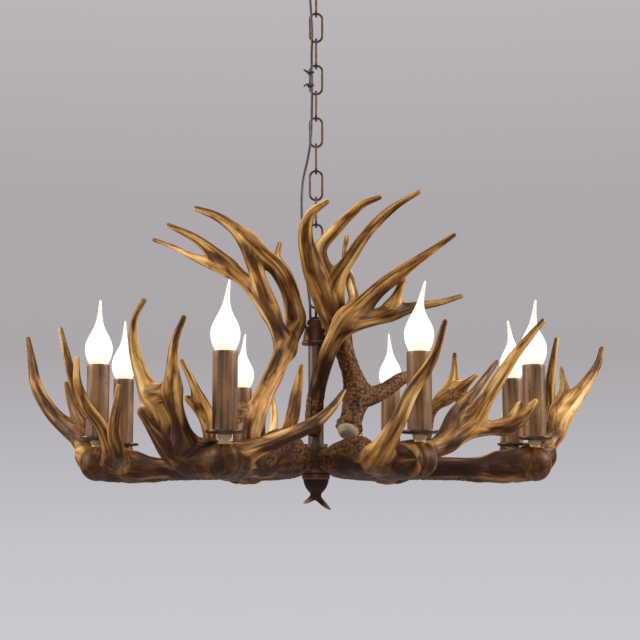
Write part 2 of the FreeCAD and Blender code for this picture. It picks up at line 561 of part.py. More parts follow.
# ---------------------------------------------------------------- ring antlers
# Each antler: its sway, the swings of its beam a third, a half and four fifths of the
# way out, the swing of its candle, and its limbs. A limb is a list of (out, swing, rise,
# radius). The first limb carries on from the beam past the candle's seat; the others
# grow out of it. A short arm carries the seat itself.
CROWN_PAD_ANTLER = 5
RING_ANTLERS = [
    # 1, right rear: a long tine leaning outwards, a short one behind
    ((2, 3, 1), -2, [
        [(-14, 0, 51, 13.5), (4, -6.3, 60, 12.5), (26, -9.8, 94, 11), (35, -11, 135, 9.5),
         (37, -12, 178, 8), (40, -13, 210, 5.5), (46, -13, 241, 3.7)],
        [(-16, 0, 51, 11), (-2, 3, 57, 11), (25, 8, 80, 10), (46, 12, 116, 8), (54, 13, 150, 6),
         (52, 12, 187, 3.7)],
    ]),
    # 2, right of the back: a crook with two tips and a leg, a long tine behind
    ((-3, -3, -1), 0, [
        [(-14, 0, 51, 13.5), (2, -6, 63, 12.5), (15, -9, 96, 11), (22, -11, 146, 9.5),
         (17, -17, 171, 8.5), (16, -23, 186, 6), (23, -26, 201, 3.7)],
        [(18, -16, 168, 7.5), (16, -19, 198, 6), (21, -19, 238, 3.7)],
        [(17, -20, 176, 7), (17, -23, 150, 7.5), (8, -19, 118, 8), (-4, -12, 78, 9), (-14, -4, 56, 10)],
        [(-16, 0, 51, 11), (-2, 3, 57, 11), (30, 9, 80, 9.5), (65, 12, 112, 8), (88, 13, 152, 6),
         (98, 12, 198, 3.7)],
    ]),
    # 3, left of the back: two tips leaning left, one inside, a long tine behind
    ((3, 4, 1), 0, [
        [(-14, 0, 51, 13.5), (0, 5, 63, 12.5), (10, 9, 93, 11), (9, 10, 137, 9.5),
         (11, 14, 180, 7), (11, 19, 227, 3.7)],
        [(9, 10, 128, 8), (15, 13, 149, 6), (21, 16, 165, 3.7)],
        [(-75, 2, 48, 12.5), (-77, -8, 84, 12.5), (-73, -13, 126, 12), (-71, -15, 172, 9.5),
         (-70, -17, 218, 4.5)],
        [(-16, 0, 51, 11), (-2, -3, 57, 11), (30, -8, 82, 9.5), (62, -11, 112, 8), (84, -12, 152, 6),
         (92, -11, 196, 3.7)],
    ]),
    # 4, left rear: a long tine leaning outwards, a short one behind
    ((-2, -4, -1), 0, [
        [(-14, 0, 51, 13.5), (9, 5, 64, 12.5), (34, 8, 95, 11), (49, 9, 140, 10),
         (57, 10, 182, 8), (64, 12, 225, 5.5), (68, 14, 256, 3.7)],
        [(-16, 0, 51, 11), (-2, -3, 57, 11), (25, -8, 82, 9.5), (46, -12, 116, 8), (54, -13, 150, 6),
         (52, -12, 187, 3.7)],
    ]),
    # 5, left: the longest tine outwards, one in front, one inside and a spur
    ((2, -3, 0), -1, [
        [(-14, -1, 51, 13.5), (-4, -6, 62, 13), (9, -10, 80, 12.5), (32, -16, 98, 11.5),
         (62, -20, 127, 10.5), (85, -22, 162, 9), (98, -25, 202, 6.5), (107, -26, 238, 3.7)],
        [(-18, 2, 53, 10.5), (-2, 7, 74, 9.5), (10, 7.5, 98, 9), (29, 7, 123, 8.5),
         (41, 6, 156, 6), (43, 6, 189, 3.7)],
        [(10, -11, 84, 8.5), (9, -13, 99, 8), (19, -15, 117, 7), (32, -17, 142, 5), (39, -18, 166, 3.7)],
        [(-22, 4, 50, 10.5), (-4, 12, 64, 9.5), (5, 13, 88, 8.5), (7, 14.5, 120, 6), (5, 15, 149, 3.7)],
        [(-44, -1, 47, 12.5), (-16, -3.5, 51, 14), (8, -6.5, 60, 12.5)],
    ]),
    # 6, left of the front: a fork of two long tines, a spur and a long tine across
    ((-1, -2, -1), 2, [
        [(-16, -2, 50, 13.5), (-2, -7, 54, 13.5), (8, -10.5, 66, 12.5), (15, -12, 102, 10.5),
         (25, -15, 136, 9.5), (33, -17, 172, 8.5), (36, -18, 206, 6.5), (33, -18, 234, 4.5),
         (24, -17, 255, 3.7)],
        [(2, -8, 58, 10.5), (15, -6.5, 76, 9.5), (25, -6.5, 96, 9), (35, -7, 124, 9),
         (43, -6.5, 160, 8), (47, -5.5, 198, 5.5), (43, -4, 225, 3.7)],
        [(8, -10, 58, 9), (20, -11, 70, 8), (30, -13, 88, 5.5), (38, -15, 109, 3.7)],
        [(24.5, -14.5, 134, 7.4), (30, -11, 135, 8), (38, -7, 136, 6.8)],
        [(-4, -7, 52, 12.5), (-26, -5, 50, 13.5), (-52, -1, 56, 13), (-78, 4, 66, 12),
         (-124, 16, 89, 10), (-142, 23, 103, 8.5), (-158, 31, 126, 6), (-170, 37, 147, 3.2)],
        [(-44, -1.2, 46, 12.4), (-20, -2.2, 51.5, 14.4), (0, -5.4, 58, 12.2)],
        [(-136, 0, 56, 14), (-160, 1, 74, 15), (-196, 2, 82, 14.5), (-240, 1, 74, 12)],
    ]),
    # 7, right of the front: a tall tine in front of the candle, three leaning right
    ((2, -2, -3), 1.4, [
        [(-28, -6, 46, 13.5), (-8, -9, 50, 13), (14, -8.5, 62, 12), (31, -6, 94, 10.5),
         (43, -4, 128, 9), (54, 0, 172, 6.5), (61, 2, 217, 3.7)],
        [(-34, -5, 46, 12.5), (-16, 0, 54, 12.5), (-20, 7, 63, 11.5), (-24, 14, 80, 11),
         (-20, 19, 98, 10.5), (1, 22, 138, 9.5), (25, 26, 188, 7), (53, 30, 233, 3.7)],
        [(-24, 12, 76, 9.5), (-32, 15, 102, 8.5), (-38, 26, 145, 6), (-35, 36, 186, 3.7)],
        [(-22, 18, 92, 8.5), (-10, 24, 92, 8), (6, 29, 98, 7), (12, 31, 124, 3.7)],
        [(4, 28, 97, 6), (18, 31, 108, 5), (30, 33, 129, 3.2)],
        [(-48, -1, 45, 13.5), (-24, -3, 47, 14.5), (4, -2, 48, 13)],
        [(-136, 0, 54, 14), (-160, 0, 68, 15), (-196, 0, 70, 14), (-238, 0, 64, 12)],
    ]),
    # 8, right: a long tine outwards with a short one beside it
    ((-3, -2, 1), 1.5, [
        [(-15, 1, 50, 13.5), (-4, 6, 61, 13), (10, 10.5, 80, 12.5), (39, 17, 124, 11),
         (75, 22, 172, 8.5), (96, 25, 202, 5.5), (105, 27, 224, 3.7)],
        [(20, 12, 96, 9), (24, 17, 128, 7.5), (38, 21, 163, 5), (36, 22, 191, 3.2)],
        [(-44, 1, 47, 12.5), (-16, 4, 51, 14), (8, 7, 60, 12.5)],
    ]),
]
# The beam's run from hub to candle: (share of the way, rise, radius).
BEAM_RUN = ((0.13, 52, 18.5), (0.3, 47, 17), (0.54, 44, 15), (0.79, 44, 14))
# The seat's arm: (out, share of the candle's swing, rise, radius).
SEAT_ARM = ((-50, 0, 45, 13), (-24, 0.4, 46, 14), (3, 1, 49, 13))
# How much thinner the first limb starts inside the beam's end.
LIMB_STEP = 0.6


def spoke_angle(antler, swing=0.0):
    """The direction of an antler's spoke, with a swing, in radians."""
    return math.radians(size("first_candle_angle") + antler * 360 / size("candle_count") + swing)


def on_spoke(antler, reach, swing, rise):
    """The place at a reach from the axis, a swing off an antler's spoke and a rise."""
    angle = spoke_angle(antler, swing)
    return FreeCAD.Vector(reach * math.cos(angle), reach * math.sin(angle), level + rise)


def outward(antler):
    """The unit vector along an antler's spoke."""
    angle = spoke_angle(antler)
    return FreeCAD.Vector(math.cos(angle), math.sin(angle), 0)


def candle_place(antler, rise):
    """The place on a candle's axis at a rise."""
    return on_spoke(antler, size("candle_radius"), RING_ANTLERS[antler][1], rise)


def ring_antler(antler):
    """The solid of a ring antler: beam, limbs and faced candle seat, with its holes."""
    sway, seat_swing, limbs = RING_ANTLERS[antler]
    hub_reach, circle = size("hub_reach"), size("candle_radius")
    beam = [
        (on_spoke(antler, hub_reach + along, 0, size("root_rise")), size("root_radius"))
        for along in (0, size("root_straight"))
    ]
    for (share, rise, radius), swing in zip(BEAM_RUN, (0,) + sway):
        beam.append((on_spoke(antler, hub_reach + share * (circle - hub_reach), swing, rise), radius))
    paths = [
        [(on_spoke(antler, circle + out, swing, rise), radius) for out, swing, rise, radius in points]
        for points in limbs
    ]
    beam_end, end_radius = beam[-1]
    beam.append(paths[0][0])
    paths[0].insert(0, (beam_end, end_radius - LIMB_STEP))
    arm = [
        (on_spoke(antler, circle + out, share * seat_swing, rise), radius)
        for out, share, rise, radius in SEAT_ARM
    ]
    seat_foot = candle_place(antler, size("seat_foot_rise"))
    seat = Part.makeCylinder(size("seat_radius"), seat_z - seat_foot.z, seat_foot)
    runs = [arm, paths[0], beam] + paths[1:]
    shapes = [seat] + [limb(points) for points in runs]
    if antler == CROWN_PAD_ANTLER:
        foot = on_spoke(antler, size("crown_pad_reach"), size("crown_pad_swing"),
                        size("crown_pad_foot_rise"))
        tall = size("crown_pad_rise") - size("crown_pad_foot_rise")
        shapes.append(Part.makeCylinder(size("crown_pad_radius"), tall, foot))
    facing = Part.makeCylinder(size("ferrule_foot_radius") + size("fit"), size("ferrule_height"),
                               candle_place(antler, size("seat_rise")))
    bite = size("candle_nipple_bite")
    nipple_hole = Part.makeCylinder(size("candle_nipple_radius") + size("slip"), bite,
                                    candle_place(antler, size("seat_rise") - bite))
    screw_hole = Part.makeCylinder(size("antler_screw_radius") + size("slip"),
                                   size("antler_screw_bite"),
                                   on_spoke(antler, hub_reach, 0, size("root_rise")), outward(antler))
    spine = [place for points in runs for place, _ in points]
    return grown_together(shapes, spine).cut(facing).cut(nipple_hole).cut(screw_hole)


for antler in range(sides):
    node(feature(f"ring_antler_{antler + 1}", ring_antler(antler)), f"ring_antler_{antler + 1}")

# ---------------------------------------------------------------- crown antlers
# Limbs of the upright antlers as lists of (x, y, rise, radius). The first antler's first
# two points stand on the pad of a ring antler.
pad_foot = on_spoke(CROWN_PAD_ANTLER, size("crown_pad_reach"), size("crown_pad_swing"), 0)
pad_rise = size("crown_pad_rise")
CROWN_ANTLERS = [
    # left: an upper limb to two tips, a lower limb to two tips and a cross limb
    [
        [(pad_foot.x, pad_foot.y, pad_rise, 12), (pad_foot.x, pad_foot.y, pad_rise + 14, 12.5),
         (-82, -181, 106, 13), (-73, -152, 136, 13), (-59, -113, 171, 13), (-48, -78, 202, 12.5),
         (-38, -46, 229, 12.5), (-29, -25, 256, 12), (-33, -31, 283, 12), (-43, -45, 313, 12),
         (-59, -51, 337, 11.5), (-78, -56, 353, 11), (-98, -58, 372, 9.5), (-121, -60, 392, 8.5),
         (-145, -60, 408, 6.5), (-174, -60, 419, 4)],
        [(-42, -62, 212, 9), (-54, -62, 238, 9.5), (-63, -60, 262, 9.5), (-78, -52, 285, 9.5),
         (-94, -46, 305, 9), (-113, -40, 323, 9), (-131, -35, 342, 8.5), (-153, -30, 362, 8),
         (-180, -25, 383, 6), (-218, -20, 402, 3.7)],
        [(-131, -34, 334, 7), (-155, -20, 344, 6.5), (-186, 0, 359, 5), (-219, 25, 379, 3.5),
         (-246, 40, 391, 3.2)],
        [(-99, -58, 368, 8), (-93, -60, 343, 7.5), (-83, -60, 318, 7.5), (-74, -57, 292, 8),
         (-66, -58, 268, 8)],
        [(-82, -183, 84, 11), (-95, -184, 98, 12.5), (-104, -183, 117, 11)],
        [(-31, -24, 262, 8), (-27, 8, 276, 8), (-31, 34, 305, 7.5), (-43, 52, 340, 7),
         (-59, 60, 372, 5), (-56, 60, 389, 3.7)],
    ],
    # centre: a trunk with a branch, an upright tine and two tines leaning right
    [
        [(48, -64, 93, 15), (52, -55, 119, 15.5), (58, -45, 155, 14.5), (49, -32, 190, 13.5),
         (39, -26, 223, 12.5), (32, -30, 262, 12), (24, -36, 296, 11.5), (15, -40, 325, 9),
         (7, -45, 362, 8.5), (30, -50, 391, 8), (48, -55, 409, 7), (68, -58, 426, 5.5),
         (92, -60, 436, 3.7)],
        [(34, -28, 236, 11), (18, -38, 266, 12), (5, -44, 297, 12), (-5, -51, 322, 12),
         (-11, -60, 348, 11.5), (-15, -70, 369, 11), (-14, -80, 390, 9.5), (-8, -88, 404, 7.5),
         (16, -100, 421, 4)],
        [(24, -37, 296, 10), (35, -45, 324, 9.5), (51, -55, 349, 9), (70, -65, 376, 8),
         (92, -72, 400, 7), (118, -78, 421, 5), (148, -80, 439, 3.7)],
        [(58, -46, 150, 12), (78, -34, 148, 12), (101, -20, 158, 11), (127, -6, 176, 9.5),
         (150, 20, 182, 6)],
    ],
    # right: a long beam sweeping right, a second limb under it, a spike and a tine behind
    [
        [(-4, -32, 100, 12), (-3, -32, 122, 12.5), (2, -42, 158, 12.5), (11, -56, 190, 12.5),
         (22, -65, 220, 12), (38, -68, 247, 12), (66, -66, 277, 11), (93, -64, 303, 10),
         (126, -62, 328, 8.5), (160, -60, 352, 6), (200, -60, 380, 3.7)],
        [(50, -67, 252, 9.5), (70, -63, 254, 9), (93, -56, 260, 9), (119, -46, 269, 8),
         (145, -38, 278, 7), (179, -28, 285, 5), (213, -20, 296, 3.7)],
        [(108, -51, 274, 7.5), (116, -50, 288, 5.5), (127, -45, 313, 3.2)],
        [(42, -66, 256, 10), (50, -44, 272, 9.5), (56, -14, 292, 8.5), (51, 20, 324, 7.5),
         (44, 45, 369, 5), (47, 60, 401, 3.7)],
    ],
]


def bell_radius(rise):
    """The collar's radius at a rise on its bell."""
    foot = size("collar_rise") - size("collar_height") + size("collar_rim_height")
    share = (rise - foot) / (size("collar_rise") - foot)
    return size("bell_base_radius") + share * (size("bell_top_radius") - size("bell_base_radius"))


# What holds each crown antler: (x, y) of the antler at the pin, the pin's rise, the
# radius of the metal that the antler's boss stands against and the pin's depth in it.
half_boss = size("boss_radius")
PINS = [
    (-31, -28, size("left_pin_rise"), bell_radius(size("left_pin_rise") - half_boss),
     size("pin_depth")),
    (34, -28, size("centre_pin_rise"), bell_radius(size("centre_pin_rise") - half_boss),
     size("pin_depth")),
    (-3, -32, size("right_pin_rise"), size("column_radius"), size("column_wall")),
]
pin_shapes, pin_holes = [], []
for x, y, rise, metal, depth in PINS:
    away = FreeCAD.Vector(x, y, 0)
    away.normalize()
    inner = metal - depth
    reach = metal + size("fit") + size("pin_bite") - inner
    start = away * inner + FreeCAD.Vector(0, 0, level + rise)
    pin_shapes.append(Part.makeCylinder(size("pin_radius"), reach, start, away))
    pin_holes.append(Part.makeCylinder(size("pin_radius") + size("slip"), reach, start, away))


def crown_antler(number):
    """The solid of an upright antler, with its boss and the hole for its pin."""
    x, y, rise, metal, _ = PINS[number]
    runs = [
        [(FreeCAD.Vector(px, py, level + up), radius) for px, py, up, radius in points]
        for points in CROWN_ANTLERS[number]
    ]
    shapes = [limb(points) for points in runs]
    away = FreeCAD.Vector(x, y, 0)
    full = away.Length
    away.normalize()
    seat = away * (metal + size("fit")) + FreeCAD.Vector(0, 0, level + rise)
    boss = Part.makeCylinder(size("boss_radius"), full - metal - size("fit"), seat, away)
    shapes.append(boss)
    spine = [place for points in runs for place, _ in points]
    return grown_together(shapes, spine).cut(pin_holes[number])


for number in range(len(CROWN_ANTLERS)):
    node(feature(f"crown_antler_{number + 1}", crown_antler(number)), f"crown_antler_{number + 1}")
node(feature("crown_pins", Part.makeCompound(pin_shapes)), "crown_pins")

doc.recompute()
node(feature("collar", collar_solid.Shape.cut(pin_holes[0]).cut(pin_holes[1])), "collar")
node(feature("column", column_tube.Shape.cut(pin_holes[2])), "column")
node(feature("column_nuts", Part.makeCompound([ring.Shape for ring in nut_rings])), "column_nuts")

# ---------------------------------------------------------------- hub holes and screws
hub_holes, antler_screws = [], []
for antler in range(sides):
    wall_face = on_spoke(antler, size("hub_reach") - size("hub_wall"), 0, size("root_rise"))
    way = outward(antler)
    depth = size("hub_wall") + size("antler_screw_bite")
    hub_holes.append(Part.makeCylinder(size("antler_screw_radius") + size("slip"), depth, wall_face, way))
    shank = Part.makeCylinder(size("antler_screw_radius"), depth, wall_face, way)
    head = Part.makeCylinder(size("antler_head_radius"), size("antler_head_height"),
                             wall_face - way * size("antler_head_height"), way)
    antler_screws.append(shank.fuse(head))
hub_shape = hub.Shape.copy()
hub_shape.translate(FreeCAD.Vector(0, 0, hub_top))
for hole in hub_holes:
    hub_shape = hub_shape.cut(hole)
hub.Label = "hub_blank"
node(feature("hub_drilled", hub_shape), "hub")
node(feature("antler_screws", Part.makeCompound(antler_screws)), "antler_screws")


# ---------------------------------------------------------------- candles
def bulb_shape():
    """A flame bulb on its axis, its cap's foot at the origin.

    A plain cap, then glass that swells to its widest a quarter of the way up and
    draws in to a long thin tip, turned round the axis.
    """
    cap, wide, tall = size("cap_radius"), size("bulb_radius"), size("bulb_height")
    glass_foot = size("cap_length")
    rim = size("holder_shortfall")
    flame = Part.BSplineCurve()
    flame.interpolate([FreeCAD.Vector(radius, 0, glass_foot + rise) for radius, rise in (
        (cap, 0), (cap + 4.4, rim * 0.55), (0.78 * wide, rim + 0.07 * tall),
        (wide, rim + 0.24 * tall), (0.82 * wide, rim + 0.41 * tall),
        (0.48 * wide, rim + 0.56 * tall), (0.22 * wide, rim + 0.71 * tall),
        (0.11 * wide, rim + 0.85 * tall), (size("bulb_tip_radius"), rim + tall))])
    foot = FreeCAD.Vector(0, 0, 0)
    edges = [
        Part.LineSegment(foot, FreeCAD.Vector(cap, 0, 0)).toShape(),
        Part.LineSegment(FreeCAD.Vector(cap, 0, 0), FreeCAD.Vector(cap, 0, glass_foot)).toShape(),
        flame.toShape(),
        Part.LineSegment(FreeCAD.Vector(size("bulb_tip_radius"), 0, glass_foot + rim + tall),
                         FreeCAD.Vector(0, 0, glass_foot + rim + tall)).toShape(),
        Part.LineSegment(FreeCAD.Vector(0, 0, glass_foot + rim + tall), foot).toShape(),
    ]
    return Part.Face(Part.Wire(edges)).revolve(foot, Z_AXIS, 360)


bulb_base = bulb_shape()
pans, ferrules, nipples, holders = [], [], [], []
for candle in range(sides):
    spot = candle_place(candle, 0)
    label = candle + 1
    outer = cylinder(f"sleeve_outer_{label}", "sizes.sleeve_radius", "sizes.sleeve_height",
                     placed(spot.x, spot.y, sleeve_z))
    inner = cylinder(f"sleeve_inner_{label}", "sizes.sleeve_radius - sizes.sleeve_wall",
                     "sizes.sleeve_height", placed(spot.x, spot.y, sleeve_z))
    node(cut(f"candle_sleeve_{label}", outer, inner), f"candle_sleeve_{label}")
    bulb = feature(f"bulb_{label}", bulb_base.copy())
    bulb.Placement = placed(spot.x, spot.y, holder_top_z - size("cap_length") + size("fit"))
    node(bulb, f"bulb_{label}")

    stem_hole_radius = size("candle_nipple_radius") + size("slip")
    base = FreeCAD.Vector(spot.x, spot.y, pan_z)
    disc = Part.makeCylinder(size("pan_radius"), size("pan_thick") + size("pan_lip_height"), base)
    dish = Part.makeCylinder(size("pan_radius") - size("pan_lip"), size("pan_lip_height"),
                             base + Z_AXIS * size("pan_thick"))
    pans.append(disc.cut(dish).cut(Part.makeCylinder(stem_hole_radius, size("pan_thick"), base)))

    seat = FreeCAD.Vector(spot.x, spot.y, seat_z)
    spacer = Part.makeCylinder(size("ferrule_radius"), size("ferrule_height"), seat).fuse(
        Part.makeCone(size("ferrule_foot_radius"), size("ferrule_radius"),
                      size("ferrule_foot_height"), seat))
    ferrules.append(spacer.cut(Part.makeCylinder(stem_hole_radius, size("ferrule_height"), seat)))

    bite = size("candle_nipple_bite")
    rod_length = 2 * bite + size("ferrule_height") + size("pan_thick")
    rod_foot = seat - Z_AXIS * bite
    rod = Part.makeCylinder(size("candle_nipple_radius"), rod_length, rod_foot)
    nipples.append(rod.cut(Part.makeCylinder(size("candle_nipple_bore"), rod_length, rod_foot)))

    holder_foot = FreeCAD.Vector(spot.x, spot.y, sleeve_z)
    body = Part.makeCylinder(size("holder_radius"), holder_top_z - sleeve_z, holder_foot)
    body = body.cut(Part.makeCylinder(stem_hole_radius, bite + size("fit"), holder_foot))
    cap_room = size("cap_length") + size("fit")
    body = body.cut(Part.makeCylinder(size("cap_radius") + size("fit"), cap_room,
                                      FreeCAD.Vector(spot.x, spot.y, holder_top_z - cap_room)))
    holders.append(body)
node(feature("drip_pans", Part.makeCompound(pans)), "drip_pans")
node(feature("candle_ferrules", Part.makeCompound(ferrules)), "candle_ferrules")
node(feature("candle_nipples", Part.makeCompound(nipples)), "candle_nipples")
node(feature("lamp_holders", Part.makeCompound(holders)), "lamp_holders")

# ---------------------------------------------------------------- checking and writing
doc.recompute()
for item in doc.Objects:
    if "Invalid" in item.State or "Error" in item.State:
        raise RuntimeError(f"{item.Label} failed: {item.State}")
for item in nodes:
    if item.Shape.isNull() or not item.Shape.isValid():
        raise RuntimeError(f"{item.Label} has no valid shape")
    if "antler_" in item.Label and len(item.Shape.Solids) != 1 and item.Label != "antler_screws":
        raise RuntimeError(f"{item.Label} is not one solid")
    print(f"{item.Label}: {len(item.Shape.Solids)} solids, {item.Shape.Volume / 1000:.2f} cm3")
if len(nodes) > 60:
    raise RuntimeError("more than 60 pieces")

os.makedirs("parts", exist_ok=True)
for item in nodes:
    item.Shape.exportStep(f"parts/{item.Label}.step")
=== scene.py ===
"""Antler chandelier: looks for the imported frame.

Eight ring antlers carry candle sleeves with flame bulbs, three crown antlers stand round
the column, and a link chain with a cord beside it goes up to the canopy. Lengths in this
file's tables are millimetres; meshes are metres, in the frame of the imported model. A
"rise" is a height above the eye-level plane, "out" a distance beyond the candles' circle
and "swing" an angle in degrees from an antler's own spoke.
"""

from __future__ import annotations

import logging
import math
from collections.abc import Callable, Iterable
from dataclasses import dataclass, field
from enum import Enum

import bpy
import numpy as np
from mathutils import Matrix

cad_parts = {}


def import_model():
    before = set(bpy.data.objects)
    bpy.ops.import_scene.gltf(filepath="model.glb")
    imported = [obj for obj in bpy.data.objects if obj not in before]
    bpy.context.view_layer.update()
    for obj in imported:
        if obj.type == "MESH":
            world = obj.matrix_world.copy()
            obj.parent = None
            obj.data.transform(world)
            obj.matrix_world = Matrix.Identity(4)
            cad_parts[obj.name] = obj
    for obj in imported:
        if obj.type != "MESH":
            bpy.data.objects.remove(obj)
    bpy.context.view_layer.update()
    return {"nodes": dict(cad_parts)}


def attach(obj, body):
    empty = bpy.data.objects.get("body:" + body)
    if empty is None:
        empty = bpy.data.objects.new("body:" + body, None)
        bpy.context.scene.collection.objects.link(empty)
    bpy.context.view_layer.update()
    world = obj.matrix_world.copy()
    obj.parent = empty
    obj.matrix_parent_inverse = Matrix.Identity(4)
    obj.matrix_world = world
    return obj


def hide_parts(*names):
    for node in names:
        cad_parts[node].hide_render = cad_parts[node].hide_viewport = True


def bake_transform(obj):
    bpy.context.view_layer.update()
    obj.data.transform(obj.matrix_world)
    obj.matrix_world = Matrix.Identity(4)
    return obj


log = logging.getLogger("chandelier")

MM = 0.001
LEVEL = -823.75
COLLAR_TOP = -560.75
CANDLES = 8
CANDLE_CIRCLE = 325.0
FIRST_SPOKE = 22.5
SPOKE_STEP = 360.0 / CANDLES
HUB_REACH = 46.0
LINKS = 12
FIRST_LINK_TOP = -49.85
LINK_ADVANCE = 40.75
LINK_BAR_SPACING = 44.6

Array = np.ndarray
Colour = tuple[float, float, float]
Face = tuple[int, ...]
Outline = list[tuple[float, float]]
Corners = list[tuple[float, float, float]]


class Body(str, Enum):
    """The bodies that pieces ride on."""

    CEILING = "ceiling"
    TOP_LINK = "top_link"
    PENDANT = "pendant"


